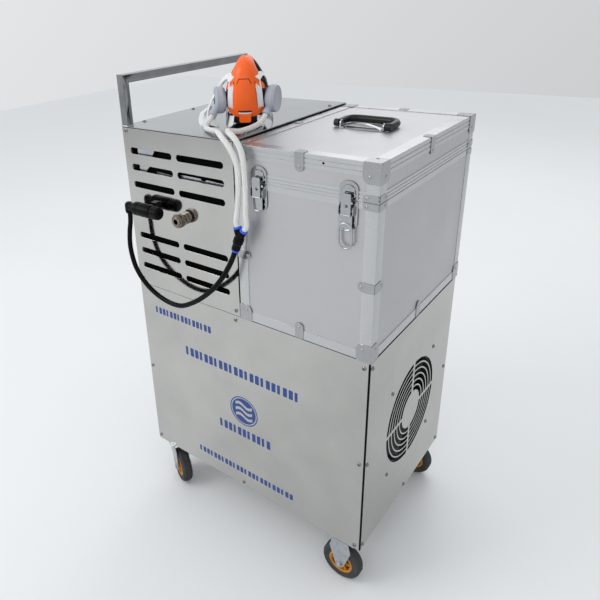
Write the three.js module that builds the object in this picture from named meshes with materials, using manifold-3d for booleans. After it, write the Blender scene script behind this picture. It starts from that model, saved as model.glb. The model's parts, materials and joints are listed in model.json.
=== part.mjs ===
// Cart-mounted powered air respirator: a wheeled steel cabinet with a fan and a compressor inside, a louvred
// tower with two air outlets, a lidded equipment case beside the tower, a half mask and its breathing tubes.
// Millimetres, +Z up, +X to the right and +Y to the rear. The origin is on the floor, below the middle.
import * as THREE from "three";
import { mergeVertices } from "three/addons/utils/BufferGeometryUtils.js";
import Module from "manifold-3d";

const wasm = await Module();
wasm.setup();

// ---------------------------------------------------------------- driving dimensions (mm)
// Inside the cart group X = 0 is the left face, Y = 0 the front face and Z = 0 the cabinet's underside.
const WIDTH = 660;
const DEPTH = 474;
const SHEET = 1.5; // stainless sheet
const GAP = 0.3; // between pieces that touch
const POST = 20; // square tube of the frame and the push handle
const DECK_TOP = 525; // the case stands on it
const TOWER_WIDTH = 335;
const TOWER_TOP = 935.5;
const HANDLE_TOP = 1052.6;

const CASTER_HEIGHT = 133;
const WHEEL_RADIUS = 50;
const TYRE_WIDTH = 29;
const HUB_RADIUS = 31;
const HUB_WIDTH = 31;
const AXLE_RADIUS = 4;
const WHEEL_DROP = CASTER_HEIGHT - WHEEL_RADIUS; // top plate to axle
const PLATE_THICKNESS = 3;
const RIGID_PLATE = { length: 78, width: 41 };
const SWIVEL_PLATE = { length: 72, width: 62 };
const SWIVEL_TRAIL = 30;
const CASTERS = [
  { name: "front_left", x: 41.5, y: 33, turn: -27, swivels: true },
  { name: "rear_left", x: 41.5, y: DEPTH - 33, turn: 40, swivels: true },
  { name: "front_right", x: 608, y: 21, turn: 0, swivels: false },
  { name: "rear_right", x: 608, y: DEPTH - 21, turn: 0, swivels: false },
];

const FAN = {
  y: 245,
  z: 252,
  openRadius: 135,
  discRadius: 50,
  rings: 5,
  bar: 3.8, // width of a ring's bar
  spoke: 9,
  hub: 40,
  blades: 7,
};
const LOUVRE_COLUMNS = [[20, 156], [170, 307]];
const LOUVRE_ROWS = [879, 839, 796, 663, 621, 579];
const LOUVRE_HEIGHT = 15.5;

const CASE = { left: 339, wall: 4, split: 857, top: 929 };
const LATCH_CENTRES = { left: 400.5, right: 601.5 };
const LATCH = { width: 39, bottom: 797, top: 855, pivotY: -7.5, pivotZ: 838 };
const LID_HANDLE = { centre: 504, y: 235, bracket: 104, grip: 134, reach: 66, bar: 17 };

const COUPLER = { x: 183, z: 738 };
const VALVE = { y: -32, z: 748, radius: 16.5, elbowX: 28, bodyEnd: 108, knobEnd: 135, stubX: 87 };
const HOSE_RADIUS = 6;
const TUBE_RADIUS = 6;

const MASK = {
  x: 259,
  y: 150,
  turn: 31.5,
  capSpan: 60, // from the middle to a cap's centre
  capHeight: 54.5,
  capRadius: 30,
  capDepth: 22,
  capTilt: 16.5,
};

const INLET_DEPTH = 8; // how far the power inlet stands out behind the cabinet
const REAR_REACH = 26.3; // how far the turned rear caster's wheel stands out behind it
const FRONT_REACH = VALVE.radius - VALVE.y; // what the valve adds in front of it
const ORIGIN_Y = (DEPTH + REAR_REACH - FRONT_REACH) / 2;

const UP = new THREE.Vector3(0, 0, 1);
const vec = (x, y, z) => new THREE.Vector3(x, y, z);
const radians = THREE.MathUtils.degToRad;

// ---------------------------------------------------------------- materials
const metal = (color, roughness) => new THREE.MeshStandardMaterial({ color, roughness, metalness: 1 });
const plastic = (color, roughness) => new THREE.MeshStandardMaterial({ color, roughness, metalness: 0 });
const stainless = () => metal(0xb5b7b3, 0.3);
const zincPlate = () => metal(0xa9adb0, 0.35);
const caseSkin = () => metal(0xc3c4c8, 0.5);
const chrome = () => metal(0xd0d2d4, 0.15);
const blackRubber = () => plastic(0x1b1c1e, 0.7);

// ---------------------------------------------------------------- solids
// A three.js geometry as a manifold-3d solid: shared corners merged, flat triangles dropped.
function solidOf(geometry) {
  const bare = geometry.clone();
  bare.deleteAttribute("normal");
  bare.deleteAttribute("uv");
  const merged = mergeVertices(bare, 1e-4);
  const corners = merged.index.array;
  const kept = [];
  for (let i = 0; i < corners.length; i += 3) {
    const [a, b, c] = [corners[i], corners[i + 1], corners[i + 2]];
    if (a !== b && b !== c && c !== a) kept.push(a, b, c);
  }
  const mesh = new wasm.Mesh({
    numProp: 3,
    vertProperties: new Float32Array(merged.attributes.position.array),
    triVerts: new Uint32Array(kept),
  });
  return new wasm.Manifold(mesh);
}

function geometryOf(solid) {
  const mesh = solid.getMesh();
  const geometry = new THREE.BufferGeometry();
  geometry.setAttribute("position", new THREE.BufferAttribute(mesh.vertProperties, 3));
  geometry.setIndex(new THREE.BufferAttribute(mesh.triVerts, 1));
  return geometry;
}

const join = (first, ...others) => others.reduce((whole, piece) => whole.add(piece), first);
const cut = (first, ...others) => others.reduce((whole, piece) => whole.subtract(piece), first);

// A box between two corners.
function block(x0, x1, y0, y1, z0, z1) {
  const box = new THREE.BoxGeometry(x1 - x0, y1 - y0, z1 - z0);
  return solidOf(box.translate((x0 + x1) / 2, (y0 + y1) / 2, (z0 + z1) / 2));
}

// Turns a geometry made along +Y so that it runs from one point towards another.
function aimed(geometry, from, to) {
  const direction = to.clone().sub(from).normalize();
  geometry.applyQuaternion(new THREE.Quaternion().setFromUnitVectors(vec(0, 1, 0), direction));
  return geometry.translate(from.x, from.y, from.z);
}

// A round bar, or a cone where the two radii differ.
function bar(from, to, radius, sides = 16, endRadius = radius) {
  const length = from.distanceTo(to);
  const cylinder = new THREE.CylinderGeometry(endRadius, radius, length, sides).translate(0, length / 2, 0);
  return solidOf(aimed(cylinder, from, to));
}

// A closed profile of [radius, height] pairs turned around the line from one point towards another.
function turned(profile, from, to, sides) {
  const points = profile.map(([radius, height]) => new THREE.Vector2(radius, height));
  points.push(points[0].clone());
  return solidOf(aimed(new THREE.LatheGeometry(points, sides), from, to));
}

// A flat outline of [across, up] pairs.
function outline(pairs) {
  return new THREE.Shape(pairs.map(([across, up]) => new THREE.Vector2(across, up)));
}

// A shape extruded with its own axes laid along two given axes, starting at a corner point.
function extruded(shape, thickness, across, up, corner, curveSegments = 4) {
  const geometry = new THREE.ExtrudeGeometry(shape, { depth: thickness, bevelEnabled: false, curveSegments });
  const basis = new THREE.Matrix4().makeBasis(across, up, across.clone().cross(up)).setPosition(corner);
  return solidOf(geometry.applyMatrix4(basis));
}

// A round tube along a smooth curve through the given points.
function tubeAlong(points, radius, steps, sides = 8) {
  const section = new THREE.Shape();
  section.absarc(0, 0, radius, 0, 2 * Math.PI);
  const curve = new THREE.CatmullRomCurve3(points, false, "centripetal");
  const options = { steps, extrudePath: curve, curveSegments: sides / 2, bevelEnabled: false };
  return solidOf(new THREE.ExtrudeGeometry(section, options));
}

function addPart(group, name, solid, material) {
  const mesh = new THREE.Mesh(geometryOf(solid), material);
  mesh.name = name;
  group.add(mesh);
  return mesh;
}

// A slot with round ends, as a hole in a flat sheet.
function roundSlot(x0, x1, z, height) {
  const radius = height / 2;
  const slot = new THREE.Path();
  slot.absarc(x1 - radius, z, radius, -Math.PI / 2, Math.PI / 2, false);
  slot.absarc(x0 + radius, z, radius, Math.PI / 2, (3 * Math.PI) / 2, false);
  return slot;
}

// ---------------------------------------------------------------- casters
// A caster's own frame: its top plate's upper face at the origin, its axle along Y.
const PLATE_UNDER = -GAP - PLATE_THICKNESS;
const RACE_UNDER = -10;
const CROWN_TOP = RACE_UNDER - GAP;
const LEG_INSIDE = HUB_WIDTH / 2 + 1.5;
const LEG_THICKNESS = 2.5;
const LEG_SHOULDER = -35;

function casterPlate({ length, width }) {
  return block(-length / 2, length / 2, -width / 2, width / 2, PLATE_UNDER, -GAP);
}

// Two legs that widen to a shoulder and taper to the axle, with the axle between them.
function forkLegs(top, wheelX) {
  const tip = 12;
  const lean = wheelX * 0.3;
  const leg = new THREE.Shape();
  leg.moveTo(-20, top);
  leg.lineTo(lean - 28, LEG_SHOULDER);
  leg.lineTo(wheelX - tip, -WHEEL_DROP);
  leg.absarc(wheelX, -WHEEL_DROP, tip, Math.PI, 2 * Math.PI, false);
  leg.lineTo(lean + 28, LEG_SHOULDER);
  leg.lineTo(20, top);
  const side = LEG_INSIDE + LEG_THICKNESS;
  const legs = [side, -LEG_INSIDE].map((y) => extruded(leg, LEG_THICKNESS, vec(1, 0, 0), UP, vec(0, y, 0)));
  const axle = bar(vec(wheelX, -side, -WHEEL_DROP), vec(wheelX, side, -WHEEL_DROP), AXLE_RADIUS, 12);
  const heads = [-side - 4, side - 0.5].map((y) =>
    bar(vec(wheelX, y, -WHEEL_DROP), vec(wheelX, y + 4.5, -WHEEL_DROP), 8, 6),
  );
  return join(legs[0], legs[1], axle, ...heads);
}

function rigidFork() {
  return join(casterPlate(RIGID_PLATE), forkLegs(PLATE_UNDER + 0.5, 0));
}

function swivelPlate() {
  return join(casterPlate(SWIVEL_PLATE), bar(vec(0, 0, RACE_UNDER), vec(0, 0, PLATE_UNDER + 0.5), 23, 24));
}

function swivelFork() {
  const crown = bar(vec(0, 0, CROWN_TOP - 4), vec(0, 0, CROWN_TOP), 25, 24);
  const side = LEG_INSIDE + LEG_THICKNESS;
  const bridge = block(-20, 20, -side, side, CROWN_TOP - 4, CROWN_TOP - 1);
  return join(crown, bridge, forkLegs(CROWN_TOP - 3, SWIVEL_TRAIL));
}

function tyre(wheelX) {
  const half = TYRE_WIDTH / 2;
  const profile = [
    [HUB_RADIUS + GAP, -half + 1],
    [WHEEL_RADIUS - 5, -half],
    [WHEEL_RADIUS, -half + 7],
    [WHEEL_RADIUS, half - 7],
    [WHEEL_RADIUS - 5, half],
    [HUB_RADIUS + GAP, half - 1],
  ];
  const centre = vec(wheelX, 0, -WHEEL_DROP);
  return turned(profile, centre, centre.clone().add(vec(0, 1, 0)), 28);
}

function hub(wheelX) {
  const half = HUB_WIDTH / 2;
  const profile = [
    [AXLE_RADIUS + GAP, -half],
    [13, -half],
    [15, -5],
    [HUB_RADIUS, -half + 3],
    [HUB_RADIUS, half - 3],
    [15, 5],
    [13, half],
    [AXLE_RADIUS + GAP, half],
  ];
  const centre = vec(wheelX, 0, -WHEEL_DROP);
  return turned(profile, centre, centre.clone().add(vec(0, 1, 0)), 20);
}

function buildCasters(cart) {
  for (const caster of CASTERS) {
    const place = new THREE.Group();
    place.position.set(caster.x, caster.y, 0);
    cart.add(place);
    const turning = new THREE.Group();
    turning.rotation.z = radians(caster.turn);
    place.add(turning);
    const wheelX = caster.swivels ? SWIVEL_TRAIL : 0;
    if (caster.swivels) addPart(place, `caster_${caster.name}_plate`, swivelPlate(), zincPlate());
    addPart(turning, `caster_${caster.name}_fork`, caster.swivels ? swivelFork() : rigidFork(), zincPlate());
    addPart(turning, `caster_${caster.name}_tyre`, tyre(wheelX), plastic(0x444446, 0.8));
    addPart(turning, `caster_${caster.name}_hub`, hub(wheelX), plastic(0xc98a1b, 0.45));
  }
}

// ---------------------------------------------------------------- cabinet
const INSET = SHEET + GAP; // from an outer face to what stands behind the sheet
const FRONT_TOP = DECK_TOP - SHEET - GAP;
const TOWER_SHEET_TOP = TOWER_TOP - SHEET - GAP;
const PAN_TOP = 4;

function cornerPost(onRight, atRear, top) {
  const x = onRight ? WIDTH - INSET - POST : INSET;
  const y = atRear ? DEPTH - INSET - POST : INSET;
  return block(x, x + POST, y, y + POST, GAP, top);
}

// A sheet with ring-shaped air gaps around a plain disc, crossed by four spokes.
function grillePanel() {
  const sheet = block(WIDTH - SHEET, WIDTH, INSET, DEPTH - INSET, 0, FRONT_TOP);
  const gap = (FAN.openRadius - FAN.discRadius - FAN.rings * FAN.bar) / (FAN.rings + 1);
  const behind = WIDTH - 3 * SHEET;
  const reach = FAN.openRadius + 5;
  const half = FAN.spoke / 2;
  const spokes = join(
    block(behind - 1, WIDTH + 5, FAN.y - reach, FAN.y + reach, FAN.z - half, FAN.z + half),
    block(behind - 1, WIDTH + 5, FAN.y - half, FAN.y + half, FAN.z - reach, FAN.z + reach),
  );
  const gaps = [];
  for (let ring = 0; ring <= FAN.rings; ring++) {
    const inner = FAN.discRadius + ring * (gap + FAN.bar);
    const profile = [
      [inner, 0],
      [inner + gap, 0],
      [inner + gap, 4 * SHEET],
      [inner, 4 * SHEET],
    ];
    const annulus = turned(profile, vec(behind, FAN.y, FAN.z), vec(WIDTH, FAN.y, FAN.z), 28);
    gaps.push(cut(annulus, spokes));
  }
  return cut(sheet, ...gaps);
}

// An L-shaped sheet that closes the back of the cabinet and of the tower, with six cooling slots.
function rearPanel() {
  const sheet = outline([
    [0, 0],
    [WIDTH, 0],
    [WIDTH, FRONT_TOP],
    [TOWER_WIDTH, FRONT_TOP],
    [TOWER_WIDTH, TOWER_SHEET_TOP],
    [0, TOWER_SHEET_TOP],
  ]);
  for (let row = 0; row < 6; row++) sheet.holes.push(roundSlot(380, 560, 230 + 32 * row, 12));
  return extruded(sheet, SHEET, vec(1, 0, 0), UP, vec(0, DEPTH, 0), 3);
}

// One folded sheet: the deck under the case, turned up to be the tower's right wall.
function deckPanel() {
  const deck = block(TOWER_WIDTH - SHEET, WIDTH, 0, DEPTH - INSET, DECK_TOP - SHEET, DECK_TOP);
  const wall = block(TOWER_WIDTH - SHEET, TOWER_WIDTH, INSET, DEPTH - INSET, DECK_TOP - SHEET, TOWER_SHEET_TOP);
  return join(cut(deck, block(0, TOWER_WIDTH + GAP, -1, INSET, 0, DECK_TOP + 1)), wall);
}

function buildCabinet(cart) {
  const panInset = INSET + POST + GAP;
  addPart(cart, "base_pan", block(INSET, WIDTH - INSET, panInset, DEPTH - panInset, GAP, PAN_TOP), stainless());
  addPart(cart, "post_front_left", cornerPost(false, false, TOWER_SHEET_TOP), stainless());
  addPart(cart, "post_rear_left", cornerPost(false, true, TOWER_SHEET_TOP), stainless());
  addPart(cart, "post_front_right", cornerPost(true, false, FRONT_TOP), stainless());
  addPart(cart, "post_rear_right", cornerPost(true, true, FRONT_TOP), stainless());
  addPart(cart, "front_panel", block(0, WIDTH, 0, SHEET, 0, FRONT_TOP), stainless());
  addPart(cart, "grille_panel", grillePanel(), stainless());
  addPart(cart, "left_panel", block(0, SHEET, INSET, DEPTH - INSET, 0, TOWER_SHEET_TOP), stainless());
  addPart(cart, "rear_panel", rearPanel(), stainless());
  addPart(cart, "deck_panel", deckPanel(), stainless());
}

// ---------------------------------------------------------------- tower
const FITTING_HOLE = 10.8;

function louvrePanel() {
  const sheet = outline([
    [0, FRONT_TOP + GAP],
    [TOWER_WIDTH, FRONT_TOP + GAP],
    [TOWER_WIDTH, TOWER_SHEET_TOP],
    [0, TOWER_SHEET_TOP],
  ]);
  for (const row of LOUVRE_ROWS) {
    for (const [start, end] of LOUVRE_COLUMNS) sheet.holes.push(roundSlot(start, end, row, LOUVRE_HEIGHT));
  }
  const fittings = [
    [COUPLER.x, COUPLER.z],
    [VALVE.stubX, VALVE.z],
  ].map(([x, z]) => bar(vec(x, -5, z), vec(x, 5, z), FITTING_HOLE, 16));
  return cut(extruded(sheet, SHEET, vec(1, 0, 0), UP, vec(0, SHEET, 0), 2), ...fittings);
}

function pushHandle() {
  const foot = TOWER_TOP + GAP;
  const front = block(0, POST, 0, POST, foot, HANDLE_TOP);
  const rear = block(0, POST, DEPTH - POST, DEPTH, foot, HANDLE_TOP);
  return join(front, rear, block(0, POST, 0, DEPTH, HANDLE_TOP - POST, HANDLE_TOP));
}

function buildTower(cart) {
  addPart(cart, "louvre_panel", louvrePanel(), stainless());
  addPart(cart, "tower_top_plate", block(0, TOWER_WIDTH, 0, DEPTH, TOWER_TOP - SHEET, TOWER_TOP), stainless());
  addPart(cart, "push_handle", pushHandle(), stainless());
}

// ---------------------------------------------------------------- fan
const FAN_FRONT = WIDTH - SHEET - 3; // the housing's face behind the grille
const FAN_DEPTH = 38;
const MOTOR_FRONT = FAN_FRONT - FAN_DEPTH + 12;

function fanHousing() {
  const half = FAN.openRadius + 8;
  const rear = FAN_FRONT - FAN_DEPTH;
  const frame = block(rear, FAN_FRONT, FAN.y - half, FAN.y + half, FAN.z - half, FAN.z + half);
  const bore = bar(vec(rear - 5, FAN.y, FAN.z), vec(WIDTH, FAN.y, FAN.z), FAN.openRadius - 3, 36);
  const strutHalf = 6;
  const struts = [
    block(rear, rear + 5, FAN.y - half, FAN.y + half, FAN.z - strutHalf, FAN.z + strutHalf),
    block(rear, rear + 5, FAN.y - strutHalf, FAN.y + strutHalf, FAN.z - half, FAN.z + half),
  ];
  const motor = bar(vec(rear - 30, FAN.y, FAN.z), vec(MOTOR_FRONT, FAN.y, FAN.z), 42, 20);
  return join(cut(frame, bore), ...struts, motor);
}

// Hub and pitched blades on the motor's axis.
function fanRotor() {
  const start = MOTOR_FRONT + 2;
  const hubSolid = bar(vec(start, FAN.y, FAN.z), vec(FAN_FRONT - 4, FAN.y, FAN.z), FAN.hub, 20);
  const bladeLength = FAN.openRadius - 9 - FAN.hub + 4;
  const blades = [];
  for (let i = 0; i < FAN.blades; i++) {
    const blade = new THREE.BoxGeometry(2.5, 42, bladeLength);
    blade.rotateZ(radians(25));
    blade.translate((start + FAN_FRONT - 4) / 2, 0, FAN.hub - 4 + bladeLength / 2);
    blade.rotateX((2 * Math.PI * i) / FAN.blades);
    blades.push(solidOf(blade.translate(0, FAN.y, FAN.z)));
  }
  return join(hubSolid, ...blades);
}

function buildFan(cart) {
  addPart(cart, "fan_housing", fanHousing(), plastic(0x2a2b2d, 0.6));
  addPart(cart, "fan_rotor", fanRotor(), plastic(0x242527, 0.5));
}

// ---------------------------------------------------------------- air supply inside the cabinet

const COMPRESSOR = {
  y: 240,
  z: 112,
  motorRadius: 66,
  motorStart: 80,
  motorEnd: 215,
  crankEnd: 310,
  headX: 262,
  headRadius: 30,
};
const FOOT_TOP = 20;

function compressor() {
  const { y, z, motorRadius, motorStart, motorEnd, crankEnd, headX, headRadius } = COMPRESSOR;
  const base = block(70, crankEnd + 20, y - 80, y + 80, PAN_TOP + GAP, FOOT_TOP);
  const cradle = block(motorStart + 10, motorEnd - 15, y - 50, y + 50, FOOT_TOP - 1, 80);
  const motor = bar(vec(motorStart, y, z), vec(motorEnd, y, z), motorRadius, 24);
  const crankcase = block(motorEnd - 5, crankEnd, y - 65, y + 65, FOOT_TOP - 1, 165);
  const heads = [y - 35, y + 35].map((headY) => bar(vec(headX, headY, 160), vec(headX, headY, 235), headRadius, 20));
  return join(base, cradle, motor, crankcase, ...heads);
}

// A hollow tank with domed ends, a port on top and two feet.
const RECEIVER = { x: 470, y: 57, z: 108, length: 360, radius: 72, dome: 38, wall: 3 };

function airReceiver() {
  const { x, y, z, length, radius, dome, wall } = RECEIVER;
  const start = vec(x, y, z);
  const tank = (inset) => {
    const profile = [
      [0, inset],
      [(radius - inset) * 0.6, inset + dome / 4],
      [radius - inset, dome],
      [radius - inset, length - dome],
      [(radius - inset) * 0.6, length - inset - dome / 4],
      [0, length - inset],
    ];
    return turned(profile, start, start.clone().add(vec(0, 1, 0)), 20);
  };
  const inside = tank(wall);
  const middle = y + length / 2;
  const neck = bar(vec(x, middle, z + radius - 6), vec(x, middle, z + radius + 12), 12, 12);
  const port = bar(vec(x, middle, z), vec(x, middle, z + radius + 18), 6, 10);
  const feet = [y + 53, y + 283].map((footY) => block(x - 40, x + 40, footY, footY + 24, PAN_TOP + GAP, 60));
  return cut(join(tank(0), neck, ...feet), inside, port);
}

// Filter regulator in the tower: a head block, a hanging bowl and the bracket that stands on the side wall.
function airFilter() {
  const head = block(190, 270, 70, 130, 640, 690);
  const bowl = bar(vec(230, 100, 520), vec(230, 100, 641), 26, 20, 30);
  const bracket = block(265, TOWER_WIDTH - INSET, 85, 115, 655, 675);
  return join(head, bowl, bracket);
}

function buildAirSupply(cart) {
  addPart(cart, "compressor", compressor(), metal(0x6f7477, 0.5));
  addPart(cart, "air_receiver", airReceiver(), plastic(0x2f4a86, 0.4));
  addPart(cart, "air_filter", airFilter(), metal(0x9a9da0, 0.4));
}

// ---------------------------------------------------------------- air outlets
const THREAD_RADIUS = 10;

function outletCoupler() {
  const { x, z } = COUPLER;
  const thread = bar(vec(x, -2, z), vec(x, 16, z), THREAD_RADIUS, 16);
  const hex = bar(vec(x, -9, z), vec(x, -GAP, z), 15, 6);
  const neck = bar(vec(x, -32, z), vec(x, -8, z), 12, 20);
  const socket = bar(vec(x, -33, z), vec(x, -12, z), 6.5, 16);
  return cut(join(thread, hex, neck), socket);
}

function couplerSleeve() {
  const { x, z } = COUPLER;
  const profile = [
    [12.4, 0],
    [16, 0],
    [17, 2],
    [17, 12],
    [15.5, 15],
    [12.4, 15],
  ];
  return turned(profile, vec(x, -29, z), vec(x, 0, z), 24);
}

function flowValve() {
  const { y, z, radius, elbowX, bodyEnd, stubX } = VALVE;
  const barrel = bar(vec(48, y, z), vec(bodyEnd, y, z), radius, 20);
  const neck = bar(vec(elbowX, y, z), vec(50, y, z), 11, 16);
  const elbow = bar(vec(elbowX, y, 735), vec(elbowX, y, z + 10), 10.5, 16);
  const stub = bar(vec(stubX, y, z), vec(stubX, 14, z), THREAD_RADIUS, 16);
  const hex = bar(vec(stubX, -8, z), vec(stubX, -GAP, z), 15, 6);
  return join(barrel, neck, elbow, stub, hex);
}

function valveKnob() {
  const { y, z, bodyEnd, knobEnd } = VALVE;
  const grip = bar(vec(bodyEnd + 2, y, z), vec(knobEnd, y, z), 16, 20, 15);
  return join(bar(vec(bodyEnd + GAP, y, z), vec(bodyEnd + 3, y, z), 11, 16), grip);
}

function buildOutlets(cart) {
  addPart(cart, "outlet_coupler", outletCoupler(), metal(0xa3a5a6, 0.3));
  addPart(cart, "coupler_sleeve", couplerSleeve(), metal(0x8c8f92, 0.35));
  addPart(cart, "flow_valve", flowValve(), plastic(0x1a1b1d, 0.45));
  addPart(cart, "flow_valve_knob", valveKnob(), plastic(0x17181a, 0.5));
}

// ---------------------------------------------------------------- equipment case
const CASE_FLOOR = DECK_TOP + GAP;
const SPLIT_HALF_GAP = 0.2;

function caseBody() {
  const { left, wall, split } = CASE;
  const outside = block(left, WIDTH, 0, DEPTH, CASE_FLOOR, split - SPLIT_HALF_GAP);
  return cut(outside, block(left + wall, WIDTH - wall, wall, DEPTH - wall, CASE_FLOOR + wall, split + 5));
}

function caseLid() {
  const { left, wall, split, top } = CASE;
  const outside = block(left, WIDTH, 0, DEPTH, split + SPLIT_HALF_GAP, top);
  return cut(outside, block(left + wall, WIDTH - wall, wall, DEPTH - wall, split - 5, top - wall));
}

const PLATE_FACE = -GAP - SHEET; // the outer face of a plate fixed to the case's front

// The plate on the case's body, with two lugs that hold the lever.
function latchBase(x) {
  const half = LATCH.width / 2;
  const plate = block(x - half, x + half, PLATE_FACE, -GAP, LATCH.bottom, LATCH.top);
  const lugs = [-16, 14].map((dx) =>
    block(x + dx, x + dx + 2, LATCH.pivotY - 3, PLATE_FACE + 0.5, LATCH.pivotZ - 6, LATCH.pivotZ + 4),
  );
  return join(plate, ...lugs);
}

function latchLever(x) {
  const { pivotY, pivotZ, bottom } = LATCH;
  const barrel = bar(vec(x - 12.5, pivotY, pivotZ), vec(x + 12.5, pivotY, pivotZ), 2.6, 12);
  const tongue = block(x - 11.5, x + 11.5, pivotY - 1, pivotY + 1.4, bottom + 2, pivotZ);
  const curl = bar(vec(x - 11.5, pivotY - 1, bottom + 3), vec(x + 11.5, pivotY - 1, bottom + 3), 2.2, 10);
  return join(barrel, tongue, curl);
}

// The draw claw rides on the lever and reaches up in front of the keeper on the lid.
const CLAW_PIVOT = { y: LATCH.pivotY - 4.6, z: LATCH.pivotZ - 9 };
function latchClaw(x) {
  const { y, z } = CLAW_PIVOT;
  const pin = bar(vec(x - 10, y, z), vec(x + 10, y, z), 1.8, 10);
  const arms = [-10, 7.5].map((dx) => block(x + dx, x + dx + 2.5, y - 1, y + 1, z, 868));
  return join(pin, ...arms, block(x - 10, x + 10, y - 1, y + 1, 865, 871));
}

function latchKeeper(x) {
  const half = LATCH.width / 2;
  const dome = outline([
    [-half, 859],
    [half, 859],
    [half, 880],
    [half - 7, 892],
    [7 - half, 892],
    [-half, 880],
  ]);
  const plate = extruded(dome, SHEET, vec(1, 0, 0), UP, vec(x, -GAP, 0));
  return join(plate, block(x - 9, x + 9, -7, PLATE_FACE + 0.5, 860, 863));
}

// The bracket's two lugs stand inside the grip's arms.
function lidHandleBracket() {
  const { centre, y, bracket } = LID_HANDLE;
  const half = bracket / 2;
  const top = CASE.top;
  const foot = block(centre - half, centre + half, y - 14, y + 8, top + GAP, top + 2);
  const lugs = [-half, half - 4].map((dx) => block(centre + dx, centre + dx + 4, y - 7, y + 7, top + 1, top + 16));
  return join(foot, ...lugs);
}

// A D-shaped grip that folds back flat on the lid and turns up about its own pivot.
function lidHandleGrip() {
  const { centre, y, grip, reach, bar: thickness, bracket } = LID_HANDLE;
  const half = grip / 2;
  const inside = bracket / 2 + 1;
  const z = CASE.top + GAP + thickness / 2 + 0.4;
  const radius = thickness / 2;
  const band = new THREE.Shape();
  band.moveTo(centre - half, y);
  band.lineTo(centre - half, y + reach - 22);
  band.absarc(centre - half + 22, y + reach - 22, 22, Math.PI, Math.PI / 2, true);
  band.absarc(centre + half - 22, y + reach - 22, 22, Math.PI / 2, 0, true);
  band.lineTo(centre + half, y);
  band.lineTo(centre + inside, y);
  band.lineTo(centre + inside, y + reach - 30);
  band.lineTo(centre + inside - 10, y + reach - 19);
  band.lineTo(centre - inside + 10, y + reach - 19);
  band.lineTo(centre - inside, y + reach - 30);
  band.lineTo(centre - inside, y);
  const body = extruded(band, thickness, vec(1, 0, 0), vec(0, 1, 0), vec(0, 0, z - radius), 3);
  const eyes = [
    [centre - half, centre - inside],
    [centre + inside, centre + half],
  ].map(([x0, x1]) => bar(vec(x0, y, z), vec(x1, y, z), radius, 16));
  return join(body, ...eyes);
}

function buildCase(cart) {
  addPart(cart, "case_body", caseBody(), caseSkin());
  addPart(cart, "case_lid", caseLid(), caseSkin());
  addPart(cart, "lid_handle_bracket", lidHandleBracket(), chrome());
  addPart(cart, "lid_handle_grip", lidHandleGrip(), plastic(0x17181a, 0.5));
  for (const [side, x] of Object.entries(LATCH_CENTRES)) {
    addPart(cart, `latch_${side}_base`, latchBase(x), chrome());
    addPart(cart, `latch_${side}_lever`, latchLever(x), chrome());
    addPart(cart, `latch_${side}_claw`, latchClaw(x), chrome());
    addPart(cart, `latch_${side}_keeper`, latchKeeper(x), chrome());
  }
}

// ---------------------------------------------------------------- half mask
// The mask's own frame: the plate it stands on at Z = 0, the wearer behind it at +Y, the caps on the X axis.
const SHELL = { y: 22, z: 74, halfWidth: 46, depth: 56, halfHeight: 71 };

// An ellipsoid that narrows towards the nose.
function pearSolid(grow, widthSegments = 20, heightSegments = 12) {
  const geometry = new THREE.SphereGeometry(1, widthSegments, heightSegments);
  const position = geometry.attributes.position;
  for (let i = 0; i < position.count; i++) {
    const height = position.getY(i);
    const narrowing = height > 0 ? 1 - 0.5 * height : 1;
    const x = position.getX(i) * (SHELL.halfWidth + grow) * narrowing;
    const y = position.getZ(i) * (SHELL.depth + grow);
    position.setXYZ(i, x, SHELL.y - y, SHELL.z + height * (SHELL.halfHeight + grow));
  }
  return solidOf(geometry);
}

function capAxis(side) {
  const tilt = radians(MASK.capTilt);
  return vec(side * Math.cos(tilt), -Math.sin(tilt), 0);
}

function maskShell() {
  const bowl = cut(pearSolid(0), pearSolid(-3), block(-90, 90, SHELL.y, 120, -10, 200));
  const bosses = [-1, 1].map((side) => {
    const centre = vec(side * MASK.capSpan, 0, MASK.capHeight);
    const outer = centre.clone().addScaledVector(capAxis(side), -MASK.capDepth / 2 - GAP);
    return bar(outer.clone().addScaledVector(capAxis(side), -9), outer, 15, 16);
  });
  return join(bowl, ...bosses.map((boss) => cut(boss, pearSolid(-3))));
}

// The soft rim that meets the face, in the same pear outline.
function faceSeal() {
  const rim = (grow) => {
    const points = [];
    const count = 24;
    for (let i = 0; i < count; i++) {
      const angle = (2 * Math.PI * i) / count;
      const height = Math.sin(angle);
      const narrowing = height > 0 ? 1 - 0.5 * height : 1;
      const across = Math.cos(angle) * (SHELL.halfWidth + grow) * narrowing;
      points.push([across, SHELL.z + height * (SHELL.halfHeight + grow)]);
    }
    return points;
  };
  const ring = outline(rim(2));
  ring.holes.push(outline(rim(-11)));
  return extruded(ring, 15, vec(1, 0, 0), UP, vec(0, SHELL.y + GAP + 15, 0));
}

function frontCover() {
  const skin = cut(pearSolid(3.6), pearSolid(0.4));
  const face = outline([
    [-13, 9],
    [13, 9],
    [13, 24],
    [27, 32],
    [35, 62],
    [35, 104],
    [24, 124],
    [12, 160],
    [-12, 160],
    [-24, 124],
    [-35, 104],
    [-35, 62],
    [-27, 32],
    [-13, 24],
  ]);
  return skin.intersect(extruded(face, 60, vec(1, 0, 0), UP, vec(0, SHELL.y - 14, 0)));
}

// A round cap over the inlet valve, with the spigot that takes the breathing tube.
const SPIGOT = { inner: 20, outer: 42, radius: 8.5 };
function spigotDirection() {
  return vec(0, -1, -1).normalize().applyAxisAngle(UP, -radians(MASK.turn));
}

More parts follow.
